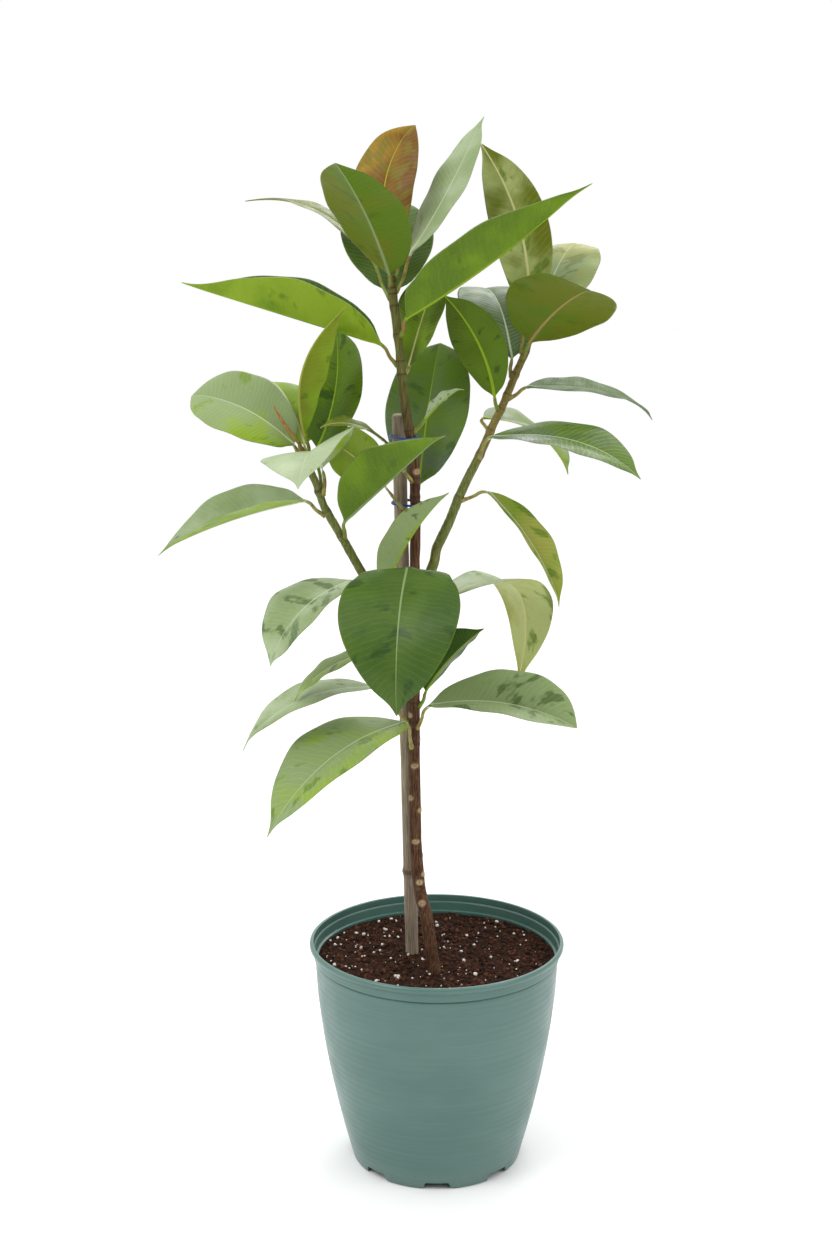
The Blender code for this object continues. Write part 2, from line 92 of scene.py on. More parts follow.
UPPER = [*reversed(ACROSS), *(-t for t in ACROSS[1:])]
AROUND = UPPER + [-t for t in reversed(ACROSS[:-1])] + list(ACROSS[1:-1])
VEINS = 30.0  # side veins on each half of a blade
VEIN_SLANT = 3.0
VEIN_DRIFT = 1.6
UPPER_RIB, UNDER_RIB = 1.05, 1.45  # half width in mm of the pale rib at the blade's foot
RIB_SOFT = 0.35  # mm over which that rib fades out on each side

# Stems, cane and ties
STEM_STEP = 1.3 * MM
NEAR_STEM = 9 * MM
ROOT_FLARE = 0.45
JOINT_RISE = 0.45 * MM
BARK_RIB = 0.28 * MM
SCAR_RISE = 0.7 * MM
KNOT_HEIGHT = 280 * MM
KNOT_RISE = 1.5 * MM
TIE_POINTS = 96
TIE_TURNS = 14
TIE_SLOPE = 1.2 * MM
TIE_SIDES = 8
TIE_TAIL = np.array([5.0, -4.0, -7.0])  # mm from the front of the loop to the wires' end
# Old leaf scars on the trunk: height, and degrees round it from the right side
SCARS = [
    (388 * MM, -88), (357 * MM, -140), (345 * MM, -25), (315 * MM, -88), (283 * MM, -22),
    (276 * MM, -84), (257 * MM, -100), (372 * MM, 60), (330 * MM, 120), (300 * MM, 40),
    (412 * MM, 10), (436 * MM, -150), (662 * MM, -60), (232 * MM, 150),
]
SCAR_WIDE = 3.2 * MM
SCAR_TALL = 2.3 * MM

# Pot and soil
POT_SIDES = 192
RIPPLE_PITCH = 6.5 * MM
RIPPLE_DEPTH = 0.1 * MM
NOTCHES = 8
NOTCH_HALF = (14.5 * MM, 10.5 * MM)  # half width at the ground and at the top of the notch
NOTCH_HEIGHT = 7 * MM
CRUMBS = 2600
PERLITE = 190
LIP_FOOT, BAND_FOOT = 6 * MM, 15 * MM  # how far each ends below the top of the rim
POT_FLOOR = 2.5 * MM
POT_WALL = 1.8 * MM
SOIL_RINGS, SOIL_SIDES = 70, 200
SOIL_MOUND = 2.5 * MM

# Colours as linear red, green and blue
TINTS = {
    "amber": (0.29, 0.17, 0.004),
    "rust": (0.15, 0.060, 0.003),
    "gold": (0.40, 0.36, 0.03),
    "cream": (0.58, 0.56, 0.26),
    "tan": (0.36, 0.25, 0.09),
    "mist": (0.50, 0.58, 0.38),
    "pearl": (0.36, 0.44, 0.26),
    "sage": (0.23, 0.31, 0.13),
    "lime": (0.24, 0.36, 0.018),
    "spring": (0.15, 0.26, 0.008),
    "leaf": (0.092, 0.168, 0.008),
    "moss": (0.075, 0.125, 0.006),
    "olive": (0.13, 0.16, 0.010),
    "fern": (0.068, 0.13, 0.016),
    "pine": (0.045, 0.095, 0.014),
    "night": (0.022, 0.055, 0.010),
    "slate": (0.10, 0.15, 0.075),
    "straw": (0.30, 0.31, 0.055),
    "bronze": (0.17, 0.13, 0.006),
    "hay": (0.44, 0.50, 0.19),
    "rose": (0.45, 0.24, 0.16),
}

# Each leaf's colours on its upper and lower side: main and second colour, the rib, the rim and the
# blotches that run along the side veins, with how much of the blade those cover. veins is how
# strongly the side veins show, gloss the roughness, and lean how far the second colour keeps to one
# side of the blade.
Look = namedtuple("Look", "top top_second under under_second rib rim blotch amount veins gloss lean")
USUAL_COLOURS = ["cream", "lime", "pine"]


def look(colours, amount=0.2, veins=0.12, gloss=0.42, lean=0.12):
    """A leaf's look; a rib, rim or blotch colour that is left out is the usual one."""
    colours = colours.split()
    return Look(*colours, *USUAL_COLOURS[len(colours) - 4:], amount, veins, gloss, lean)


LOOKS = {
    "leaf_top_ochre": look("amber rust amber rust gold straw bronze", 0.6, 0.15),
    "leaf_top_front": look("leaf spring leaf olive sage straw moss", 0.2, 0.1),
    # leaf_top_silver: its pearl blade and mist rib and rim are its own pale green lifted by painted sheen,
    # the white light's reflection on its upper side
    "leaf_top_silver": look("pearl sage pearl sage mist mist sage", 0.3, 0.2),
    "leaf_top_left": look("olive moss olive moss straw olive moss", 0.2),
    "leaf_top_back": look("pine fern pine fern"),
    "leaf_high_left": look("pine leaf spring lime lime mist leaf", 0.3, 0.2),
    "leaf_high_right": look("pine leaf leaf spring lime mist moss", 0.0, 0.12),
    "leaf_high_back": look("spring moss leaf spring cream lime moss", 0.3),
    "leaf_small_pale": look("pearl mist pearl sage lime"),
    "leaf_back_broad": look("slate leaf slate leaf lime sage pine", 0.3, 0.08),
    "leaf_twisted": look("olive moss slate olive"),
    "leaf_middle_left": look("lime spring lime spring"),
    "leaf_rolled": look("lime sage lime sage lime gold pine", 0.2, 0.1, 0.4, 0.6),
    "leaf_right_arching": look("sage pearl hay straw cream rose leaf", 0.3),
    "leaf_heart": look("fern pine sage lime sage lime night", 0.3, 0.1, 0.38),
    "leaf_mottled": look("sage pearl pearl sage mist sage pine", 0.5),
    "leaf_low_small": look("lime sage lime sage"),
    "leaf_low_curled": look("pine leaf pine night lime lime"),
    "leaf_low_sage": look("sage pearl sage lime mist straw slate", 0.3),
    "leaf_low_right": look("sage sage sage lime mist straw pine", 0.4),
    "leaf_low_broad": look("sage lime lime sage mist lime leaf", 0.35),
    "leaf_left_round": look("lime sage lime sage mist mist spring", 0.3, 0.14, 0.42, 0.3),
    "leaf_left_hidden": look("lime spring lime spring"),
    "leaf_left_folded": look("olive spring olive spring straw straw moss", 0.2),
    "leaf_left_dark": look("fern leaf fern slate lime leaf night", 0.3, 0.12, 0.3),
    "leaf_left_cupped": look("pearl mist pearl lime mist mist sage"),
    "leaf_left_low": look("pearl sage lime spring mist mist slate", 0.2),
    "leaf_left_upright": look("leaf olive leaf spring sage mist fern", 0.2, 0.08),
    "leaf_right_tall": look("straw olive hay olive cream tan leaf", 0.3),
    "leaf_right_pale": look("sage straw pearl straw mist cream olive", 0.45),
    "leaf_right_broad": look("olive leaf olive leaf tan lime moss", 0.25),
    "leaf_right_veined": look("slate fern slate fern mist mist pine", 0.3, 0.25),
    "leaf_right_narrow": look("fern pine slate sage mist mist pine", 0.2, 0.1, 0.55),
    "leaf_right_inner": look("pine spring leaf moss lime lime night", 0.2, 0.1),
    "leaf_right_behind": look("pearl lime pearl lime"),
    "leaf_right_glossy": look("leaf slate sage lime mist mist pine", 0.25, 0.25, 0.3),
    "leaf_right_drooping": look("spring straw straw lime mist lime leaf", 0.4),
}


def unit(vector):
    """The vector at length one."""
    return vector / np.linalg.norm(vector)


def smooth_line(stations, values, at):
    """Values between the stations, on a smooth curve through them."""
    stations, values = np.asarray(stations, float), np.asarray(values, float)
    slopes = np.gradient(values, stations, axis=0)
    index = np.clip(np.searchsorted(stations, at, side="right") - 1, 0, len(stations) - 2)
    step = stations[index + 1] - stations[index]
    share = (at - stations[index]) / step
    if values.ndim > 1:
        share, step = share[:, None], step[:, None]
    low, high = values[index], values[index + 1]
    return (
        low * (2 * share**3 - 3 * share**2 + 1)
        + high * (3 * share**2 - 2 * share**3)
        + slopes[index] * step * (share**3 - 2 * share**2 + share)
        + slopes[index + 1] * step * (share**3 - share**2)
    )


def peak(value, width):
    """A smooth peak that is one where the value is nought."""
    return math.exp(-((value / width) ** 2))


def level(angle):
    """The level direction at an angle from the right side."""
    return np.array([math.cos(angle), math.sin(angle), 0.0])


def ripple(point, scale):
    """Smooth noise from -1 to 1 at a point, with features about 1/scale metres across."""
    return noise.noise(Vector(point) * scale)


# Pieces and their meshes


def add_piece(name, vertices, faces, replaced=(), materials=(), face_materials=None):
    """A smooth-shaded piece that rides with the plant."""
    mesh = bpy.data.meshes.new(name)
    mesh.from_pydata([tuple(map(float, v)) for v in vertices], [], faces)
    for material in materials:
        mesh.materials.append(material)
    if face_materials is not None:
        mesh.polygons.foreach_set("material_index", face_materials)
    mesh.shade_smooth()
    mesh.update()
    piece = bpy.data.objects.new(name, mesh)
    bpy.context.scene.collection.objects.link(piece)
    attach(piece, "root")
    if replaced:
        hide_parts(*replaced)
    return piece


def point_values(piece, name, values):
    """Stores a number or a vector for each vertex, for the material to read."""
    values = np.asarray(values, np.float32)
    kind = "FLOAT" if values.ndim == 1 else "FLOAT_VECTOR"
    field = "value" if values.ndim == 1 else "vector"
    attribute = piece.data.attributes.new(name, kind, "POINT")
    attribute.data.foreach_set(field, values.ravel())


def tube_values(piece, name, values):
    """Stores a number for each point of a tube's rings, and nought for its two ends."""
    point_values(piece, name, np.concatenate([values.ravel(), [0.0, 0.0]]))


def face_outward(piece):
    """Turns every face of a closed piece outward."""
    shape = bmesh.new()
    shape.from_mesh(piece.data)
    bmesh.ops.recalc_face_normals(shape, faces=shape.faces)
    shape.to_mesh(piece.data)
    shape.free()


def grid_faces(rows, columns):
    """Quads between rings of that many points, running round each ring."""
    return [
        (
            row * columns + column,
            row * columns + (column + 1) % columns,
            (row + 1) * columns + (column + 1) % columns,
            (row + 1) * columns + column,
        )
        for row in range(rows - 1)
        for column in range(columns)
    ]


def loop_faces(rows, columns):
    """Quads between rings as above, and from the last ring back to the first."""
    total = rows * columns
    return [tuple(corner % total for corner in face) for face in grid_faces(rows + 1, columns)]


def turned_points(rows, sides):
    """Points round the upright axis for each radius and height."""
    angles = 2 * np.pi * np.arange(sides) / sides
    return [(r * math.cos(angle), r * math.sin(angle), height) for r, height in rows for angle in angles]


def swept_points(centres, radii, sides, offsets=None, reference=RIGHT, closed=False):
    """Rings of points round a line, with a radius for each ring and an offset for each point."""
    centres = np.asarray(centres, float)
    if closed:
        directions = np.roll(centres, -1, axis=0) - np.roll(centres, 1, axis=0)
    else:
        directions = np.gradient(centres, axis=0)
    angles = 2 * np.pi * np.arange(sides) / sides
    rings = []
    for index, (centre, direction) in enumerate(zip(centres, directions)):
        along = unit(direction)
        across = unit(reference - (reference @ along) * along)
        other = np.cross(along, across)
        reach = np.full(sides, float(radii[index]))
        if offsets is not None:
            reach = reach + offsets[index]
        rings.append(
            centre
            + reach[:, None] * (np.cos(angles)[:, None] * across + np.sin(angles)[:, None] * other)
        )
    return rings


def tube_mesh(rings, ends=None):
    """Vertices and faces of a tube closed to a point at each end, its ring's middle unless given."""
    sides = len(rings[0])
    foot_point, top_point = ends or (rings[0].mean(axis=0), rings[-1].mean(axis=0))
    vertices = np.concatenate([*rings, [foot_point], [top_point]])
    faces = grid_faces(len(rings), sides)
    foot, top = len(vertices) - 2, len(vertices) - 1
    last = (len(rings) - 1) * sides
    for side in range(sides):
        after = (side + 1) % sides
        faces.append((foot, after, side))
        faces.append((top, last + side, last + after))
    return vertices, faces


# Shape of the CAD nodes


def cad_mesh(node):
    """The node's points with doubles merged, and its edges between them."""
    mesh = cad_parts[node].data
    found, index = {}, []
    for vertex in mesh.vertices:
        index.append(found.setdefault(tuple(round(c, 6) for c in vertex.co), len(found)))
    edges = {tuple(sorted((index[e.vertices[0]], index[e.vertices[1]]))) for e in mesh.edges}
    return np.array(list(found)), np.array([edge for edge in edges if edge[0] != edge[1]])


def section(points, edges, origin, normal):
    """Centre and radius of a tube where a plane crosses it."""
    normal = unit(np.asarray(normal, float))
    heights = (points - origin) @ normal
    first, second = heights[edges[:, 0]], heights[edges[:, 1]]
    crossed = first * second < 0
    share = (first[crossed] / (first[crossed] - second[crossed]))[:, None]
    start, end = points[edges[crossed, 0]], points[edges[crossed, 1]]
    outline = start + share * (end - start)
    helper = RIGHT if abs(normal @ RIGHT) < 0.9 else UP
    across = unit(np.cross(normal, helper))
    other = np.cross(normal, across)
    flat = np.stack([(outline - origin) @ across, (outline - origin) @ other], axis=1)
    middle = flat.mean(axis=0)
    order = np.argsort(np.arctan2(flat[:, 1] - middle[1], flat[:, 0] - middle[0]))
    flat = flat[order]
    after = np.roll(flat, -1, axis=0)
    cross = flat[:, 0] * after[:, 1] - after[:, 0] * flat[:, 1]
    area = cross.sum() / 2
    centre = ((flat + after) * cross[:, None]).sum(axis=0) / (6 * area)
    return origin + centre[0] * across + centre[1] * other, math.sqrt(area / math.pi)


def stem_line(node, step):
    """Centre points and radii of a stem every few millimetres of height, from its foot to its top."""
    points, edges = cad_mesh(node)
    low, high = points[:, 2].min(), points[:, 2].max()
    count = int((high - low) / step)
    heights = np.linspace(low + 6 * MM, high - 1.2 * MM, count)
    found = [section(points, edges, np.array([0.0, 0.0, height]), UP) for height in heights]
    centres = np.array([centre for centre, _ in found])
    tilt = np.gradient(centres, axis=0)
    upright = np.abs(tilt[:, 2]) / np.linalg.norm(tilt, axis=1)
    return centres, np.array([radius for _, radius in found]) * np.sqrt(upright)


# Materials


class Paint:
    """A material and short calls for the nodes that make it."""

    def __init__(self, name, roughness=0.5):
        self.material = bpy.data.materials.new(name)
        self.material.use_nodes = True
        self.nodes = self.material.node_tree.nodes
        self.links = self.material.node_tree.links
        self.shader = self.nodes["Principled BSDF"]
        self.put("Roughness", roughness)

    def plug(self, socket, value):
        """Links the socket, or sets its number, its colour or its named colour."""
        if isinstance(value, bpy.types.NodeSocket):
            self.links.new(value, socket)
        elif isinstance(value, str):
            socket.default_value = (*TINTS[value], 1.0)
        elif isinstance(value, tuple):
            socket.default_value = (*value, 1.0)
        else:
            socket.default_value = value

    def put(self, name, value):
        """Sets or links one of the shader's own sockets."""
        self.plug(self.shader.inputs[name], value)

    def math(self, operation, first, second=0.0):
        """One number made from one or two."""
        node = self.nodes.new("ShaderNodeMath")
        node.operation = operation
        self.plug(node.inputs[0], first)
        self.plug(node.inputs[1], second)
        return node.outputs[0]

    def times(self, first, second):
        """The product of two numbers."""
        return self.math("MULTIPLY", first, second)

    def plus(self, first, second):
        """The sum of two numbers."""
        return self.math("ADD", first, second)

    def step(self, value, low, high, start=0.0, end=1.0):
        """A smooth step from start to end as the value goes from low to high."""
        node = self.nodes.new("ShaderNodeMapRange")
        node.interpolation_type = "SMOOTHSTEP"
        for socket, number in zip(node.inputs, (value, low, high, start, end)):
            self.plug(socket, number)
        return node.outputs[0]

    def place(self):
        """The point on the piece, in metres."""
        return self.nodes.new("ShaderNodeTexCoord").outputs["Object"]

    def stored(self, name, vector=False):
        """A value stored on the piece's vertices."""
        node = self.nodes.new("ShaderNodeAttribute")
        node.attribute_name = name
        return node.outputs["Vector" if vector else "Fac"]

    def split(self, vector):
        """The three numbers of a vector."""
        node = self.nodes.new("ShaderNodeSeparateXYZ")
        self.plug(node.inputs[0], vector)
        return node.outputs

    def join(self, x, y, z):
        """A vector of three numbers."""
        node = self.nodes.new("ShaderNodeCombineXYZ")
        for socket, value in zip(node.inputs, (x, y, z)):
            self.plug(socket, value)
        return node.outputs[0]

    def stretch(self, vector, scale):
        """The vector scaled along each axis."""
        node = self.nodes.new("ShaderNodeMapping")
        self.plug(node.inputs["Vector"], vector)
        node.inputs["Scale"].default_value = scale
        return node.outputs[0]

    def noise(self, vector, scale, detail=2.0, roughness=0.5):
        """Soft noise from 0 to 1."""
        node = self.nodes.new("ShaderNodeTexNoise")
        self.plug(node.inputs["Vector"], vector)
        node.inputs["Scale"].default_value = scale
        node.inputs["Detail"].default_value = detail
        node.inputs["Roughness"].default_value = roughness
        return node.outputs[0]

    def mix(self, share, first, second):
        """A colour between two."""
        node = self.nodes.new("ShaderNodeMix")
        node.data_type = "RGBA"
        colours = [socket for socket in node.inputs if socket.type == "RGBA"]
        self.plug(node.inputs[0], share)
        self.plug(colours[0], first)
        self.plug(colours[1], second)
        return [socket for socket in node.outputs if socket.type == "RGBA"][0]

    def blend(self, value, low, high, first, second, most=1.0):
        """From the first colour towards the second as the value goes from low to high."""
        return self.mix(self.step(value, low, high, 0.0, most), first, second)

    def grain(self, place, share, scale, detail, roughness=0.5):
        """Noise in which height counts by a share, so a small share draws it out upright."""
        return self.noise(self.stretch(place, (1.0, 1.0, share)), scale, detail, roughness)

    def bump(self, height, strength, distance):
        """Relief on the shader's normal."""
        node = self.nodes.new("ShaderNodeBump")
        self.plug(node.inputs["Height"], height)
        node.inputs["Strength"].default_value = strength
        node.inputs["Distance"].default_value = distance
        self.put("Normal", node.outputs[0])


def blade_paint(name, main, second, look, seed, under):
    """One side of a leaf: two soft tones, fibres and blotches along its side veins, veins, rib and rim."""
    paint = Paint(name)
    u, t, distance = paint.split(paint.stored("leaf_place", vector=True))
    place = paint.place()
    outward = paint.math("ABSOLUTE", t)
    drift = paint.times(paint.noise(place, 55.0, 1.0), VEIN_DRIFT)
    slant = paint.math("SUBTRACT", paint.times(u, VEINS), paint.times(outward, VEIN_SLANT))
    wave = paint.math("SINE", paint.times(paint.plus(slant, drift), 2 * math.pi))
    lean = paint.plus(paint.times(t, math.cos(seed)), paint.times(u, math.sin(seed)))
    shade = paint.plus(paint.noise(place, 24.0, 3.0), paint.times(lean, look.lean))
    colour = paint.blend(shade, 0.36, 0.68, main, second)
    fibre = paint.noise(paint.join(paint.times(slant, 1.6), outward, seed), 2.6, 5.0, 0.7)
    colour = paint.blend(fibre, 0.55, 0.72, colour, second, 0.45)
    colour = paint.mix(paint.step(fibre, 0.28, 0.45, 0.35, 0.0), colour, look.blotch)
    streaks = paint.noise(paint.join(paint.times(slant, 0.2), t, seed), 1.5, 3.0)
    edge = 0.67 - 0.3 * look.amount
    colour = paint.blend(streaks, edge, edge + 0.09, colour, look.blotch, 0.75)
    colour = paint.blend(wave, 0.8, 1.0, colour, look.rib, look.veins)
    colour = paint.blend(paint.noise(place, 700.0), 0.35, 0.75, colour, look.rim, 0.04)
    colour = paint.blend(outward, 0.965, 0.995, colour, look.rim, 0.4)
    rib_edge = paint.math("SUBTRACT", UNDER_RIB if under else UPPER_RIB, u)
    beyond = paint.math("SUBTRACT", distance, rib_edge)
    colour = paint.mix(paint.step(beyond, -RIB_SOFT, RIB_SOFT, 1.0, 0.0), colour, look.rib)
    paint.put("Base Color", colour)
    gloss = paint.step(paint.noise(place, 90.0), 0.3, 0.7, look.gloss - 0.05, look.gloss + 0.1)
    paint.put("Roughness", gloss)
    paint.put("Specular IOR Level", 0.12 if under else 0.2)
    paint.bump(paint.plus(paint.times(wave, 0.5), paint.noise(place, 420.0, 3.0)), 0.16, 0.3 * MM)
    return paint.material


def stalk_paint(name, shade):
    """A leaf stalk: smooth, browner in places, with fine dark specks."""
    paint = Paint(name, 0.42)
    place = paint.place()
    speck = paint.noise(place, 1200.0, 1.0)
    colour = paint.blend(paint.noise(place, 160.0, 3.0), 0.4, 0.65, shade, (0.23, 0.125, 0.03))
    paint.put("Base Color", paint.blend(speck, 0.6, 0.7, colour, (0.10, 0.06, 0.03), 0.5))
    paint.bump(paint.noise(place, 900.0), 0.2, 0.3 * MM)
    return paint.material


# Leaves


def ring_levels(node):
    """The rings of a CAD leaf from its stalk's end on, each in order round, and its tip."""
    points, edges = cad_mesh(node)
    beside = [[] for _ in points]
    for first, second in edges:
        beside[first].append(second)
        beside[second].append(first)

    def distances(start):
        found, front = {start: 0}, [start]
        while front:
            after = []
            for here in front:
                for other in beside[here]:
                    if other not in found:
                        found[other] = found[here] + 1
                        after.append(other)
            front = after
        return found

    def is_pole(start):
        counts = np.bincount(list(distances(start).values()))
        return len(beside[start]) == CAD_RING and list(counts) == [1] + [CAD_RING] * CAD_RINGS + [1]

    pole = next(index for index in range(len(points)) if is_pole(index))
    found = distances(pole)
    rings = []
    for level in range(1, CAD_RINGS + 1):
        members = {index for index in found if found[index] == level}
        walk = [min(members)]
        while len(walk) < CAD_RING:
            walk.append(next(i for i in beside[walk[-1]] if i in members and i not in walk))
        rings.append(points[walk])
    tip = points[max(found, key=found.get)]

    def width(ring):
        return np.linalg.norm(ring - ring.mean(axis=0), axis=1).max()

    if width(rings[STALK_RINGS - 1]) > width(rings[-STALK_RINGS]):
        rings.reverse()
        tip = points[pole]
    return rings, tip


def aligned(ring, before):
    """The ring turned and, if need be, reversed, so that its points match those of the ring before."""

    def spread(points):
        arms = points - points.mean(axis=0)
        return arms / np.linalg.norm(arms, axis=1).max()

    choices = [np.roll(order, shift, axis=0) for order in (ring, ring[::-1]) for shift in range(CAD_RING)]
    return max(choices, key=lambda choice: (spread(choice) * spread(before)).sum())


def leaf_stations(node):
    """Middle, the two margins and the upward direction at each ring of a CAD leaf, and at its tip."""
    rings, tip = ring_levels(node)
    widest = max(range(STALK_RINGS, CAD_RINGS), key=lambda i: np.ptp(rings[i], axis=0).sum())
    ring = rings[widest]
    gaps = [np.linalg.norm(ring[i] - ring[(i + CAD_RING // 2) % CAD_RING]) for i in range(CAD_RING)]
    ring = np.roll(ring, -int(np.argmax(gaps)), axis=0)
    halfway = (ring[0] + ring[4]) / 2
    if np.linalg.norm(ring[2] - halfway) > np.linalg.norm(ring[6] - halfway):
        ring = np.roll(ring[::-1], 1, axis=0)
    rings[widest] = ring
    for index in range(widest + 1, CAD_RINGS):
        rings[index] = aligned(rings[index], rings[index - 1])
    for index in range(widest - 1, -1, -1):
        rings[index] = aligned(rings[index], rings[index + 1])
    rings = np.array(rings)
    middles = (rings[:, 2] + rings[:, 6]) / 2
    above = np.array([unit(arm) for arm in rings[:, 2] - rings[:, 6]])
    margins = rings[:, (0, 4)] - middles[:, None]
    middles = np.concatenate([middles, [tip]])
    above = np.concatenate([above, above[-1:]])
    margins = np.concatenate([margins, np.zeros((1, 2, 3))])
    return middles, margins, above


def leaf_ring(centre, up, arms, u, at, wobble, widest):
    """A ring of a leaf, upper side first, and each point's share along, share across and mm from the rib."""
    blade = min(1.0, u / BLADE_BLEND)
    half = PLATE + (STALK_HALF - PLATE) * math.exp(-22 * u)
    flare = STALK_FLARE * math.exp(-at / FLARE_LENGTH)
    points, places = [], []
    for number, t in enumerate(AROUND):
        side = 0 if t >= 0 else 1
        reach = np.linalg.norm(arms[side])
        distance = abs(t) * reach
        height = half * (1 + flare) * math.sqrt(max(0.0, 1 - t * t))
        if number < len(UPPER):
            height -= GROOVE * blade * (1 - u) * peak(distance, RIB_WIDTH)
        else:
            height = -height - RIB_HEIGHT * blade * (1 - 0.8 * u) * peak(distance, RIB_WIDTH)
        swell = PUCKER * reach * blade * (1 - (2 * abs(t) - 1) ** 2)
        phase = wobble[side] + 2 * math.pi * (3.1 + 0.4 * side) * u
        ruffle = RUFFLE * blade * t * t * math.sin(phase) * min(1.0, reach / widest)
        body = arms[side] * abs(t) * (1 + flare * (1 - blade))
        points.append(centre + body + (height + swell + ruffle) * up)
        places.append((u, t, distance / MM))
    return np.array(points), places


def build_leaf(node, look, seed):
    """One leaf in fine detail along the CAD leaf's middle line, width and fold; returns its foot."""
    middles, margins, above = leaf_stations(node)
    lengths = np.linalg.norm(np.diff(middles, axis=0), axis=1)
    stations = np.concatenate([[0.0], np.cumsum(lengths)])
    blade_start = stations[STALK_RINGS]
    blade_length = stations[-1] - blade_start
    stalk_at = np.linspace(0.0, blade_start, STALK_STEPS, endpoint=False)
    share = np.linspace(0.0, 1.0, BLADE_STEPS)
    blade_at = blade_start + blade_length * (1 - (1 - share) ** 1.25)
    at = np.concatenate([stalk_at, blade_at[:-1]])
    centres = smooth_line(stations, middles, at)
    left, right = (smooth_line(stations, margins[:, side], at) for side in (0, 1))
    ups = [unit(up) for up in smooth_line(stations, above, at)]
    u = np.clip((at - blade_start) / blade_length, 0.0, 1.0)
    chance = np.random.default_rng(seed)
    wobble = chance.uniform(0.0, 2 * math.pi, 4)
    curl = chance.uniform(-1.0, 4.0) * MM
    widest = max(np.linalg.norm(margins[:, 0], axis=1).max(), MM)
    rings, places = [], []
    for index, up in enumerate(ups):
        curled = max(0.0, (u[index] - CURL_START) / (1 - CURL_START)) ** 2
        centre = centres[index] - curl * curled * up
        arms = (left[index], right[index])
        ring, ring_places = leaf_ring(centre, up, arms, u[index], at[index], wobble, widest)
        rings.append(ring)
        places.extend(ring_places)
    sunk = centres[0] + STALK_SINK * unit(centres[0] - centres[1])
    rings.insert(0, sunk + (rings[0] - centres[0]) * 1.1)
    places = [*places[:len(AROUND)], *places, places[0], (1.0, 0.0, 0.0)]
    vertices, faces = tube_mesh(rings, (sunk, middles[-1] - curl * ups[-1]))
    strip = [BLADE_KIND if column < len(UPPER) - 1 else UNDER_KIND for column in range(len(AROUND))]
    kinds = [STALK_KIND] * (STALK_STEPS * len(AROUND)) + strip * (len(rings) - 1 - STALK_STEPS)
    for kind in strip:
        kinds += [STALK_KIND, kind]
    label = node.replace("leaf_", "blade_")
    shift = seed * 3.7
    paints = [
        blade_paint(label + "_upper", look.top, look.top_second, look, shift, False),
        blade_paint(label + "_lower", look.under, look.under_second, look, shift, True),
        stalk_paint(label + "_stalk", "straw" if look.rib in ("mist", "cream") else "spring"),
    ]
    piece = add_piece(label, vertices, faces, (node,), paints, kinds)
    face_outward(piece)
    point_values(piece, "leaf_place", places)
    return centres[0]


# Stems, cane, ties and buds



def bark_paint():
    """Brown ribbed bark at the foot, turning green-brown higher up, with cream leaf scars."""
    paint = Paint("bark", 0.75)
    place = paint.place()
    height = paint.split(place)[2]
    ribs = paint.grain(place, 0.07, 900.0, 4.0, 0.6)
    flecks = paint.grain(place, 0.4, 330.0, 4.0, 0.7)
    brown = paint.blend(ribs, 0.38, 0.66, (0.048, 0.019, 0.009), (0.15, 0.070, 0.036))
    brown = paint.blend(flecks, 0.55, 0.7, brown, (0.20, 0.12, 0.075), 0.6)
    young = paint.blend(ribs, 0.35, 0.7, (0.075, 0.075, 0.015), (0.17, 0.16, 0.045))
    colour = paint.blend(height, 0.66, 0.76, brown, young)
    colour = paint.mix(paint.stored("joint"), colour, (0.045, 0.030, 0.018))
    scar = paint.blend(flecks, 0.4, 0.6, (0.50, 0.38, 0.22), (0.34, 0.22, 0.12))
    mark = paint.stored("scar")
    scar = paint.blend(mark, 1.0, 2.0, scar, (0.16, 0.09, 0.05), 0.7)
    paint.put("Base Color", paint.mix(mark, colour, scar))
    paint.put("Specular IOR Level", 0.2)
    paint.bump(paint.plus(ribs, flecks), 0.7, 0.6 * MM)
    return paint.material


def shoot_paint():
    """Younger green bark with fine pale pores, browner in places and towards the top."""
    paint = Paint("shoot_bark", 0.5)
    place = paint.place()
    ribs = paint.grain(place, 0.12, 700.0, 3.0, 0.6)
    pores = paint.noise(place, 1500.0, 1.0)
    tone = paint.noise(place, 45.0, 3.0)
    colour = paint.blend(ribs, 0.35, 0.7, (0.095, 0.115, 0.018), (0.20, 0.22, 0.055))
    colour = paint.blend(tone, 0.55, 0.72, colour, (0.15, 0.085, 0.05), 0.5)
    height = paint.split(place)[2]
    colour = paint.blend(height, 0.655, 0.70, colour, (0.26, 0.13, 0.03), 0.45)
    colour = paint.mix(paint.stored("joint"), colour, (0.07, 0.045, 0.02))
    paint.put("Base Color", paint.blend(pores, 0.64, 0.72, colour, (0.36, 0.33, 0.2), 0.6))
    paint.put("Specular IOR Level", 0.25)
    paint.bump(paint.plus(ribs, pores), 0.4, 0.4 * MM)
    return paint.material


def cane_paint():
    """Grey-tan wood with grain along it, a darker knot and a paler cut end."""
    paint = Paint("cane_wood", 0.8)
    place = paint.place()
    grain = paint.grain(place, 0.03, 1300.0, 5.0, 0.65)
    bands = paint.grain(place, 0.5, 60.0, 3.0)
    wood = paint.blend(grain, 0.35, 0.68, (0.20, 0.15, 0.105), (0.45, 0.37, 0.28))
    wood = paint.blend(bands, 0.5, 0.7, wood, (0.28, 0.24, 0.19), 0.5)
    height = paint.split(place)[2]
    wood = paint.blend(height, 0.709, 0.711, wood, (0.55, 0.45, 0.32), 0.8)
    paint.put("Base Color", paint.mix(paint.stored("joint"), wood, (0.10, 0.055, 0.03)))
    paint.put("Specular IOR Level", 0.2)
    paint.bump(paint.plus(grain, bands), 0.5, 0.5 * MM)
    return paint.material


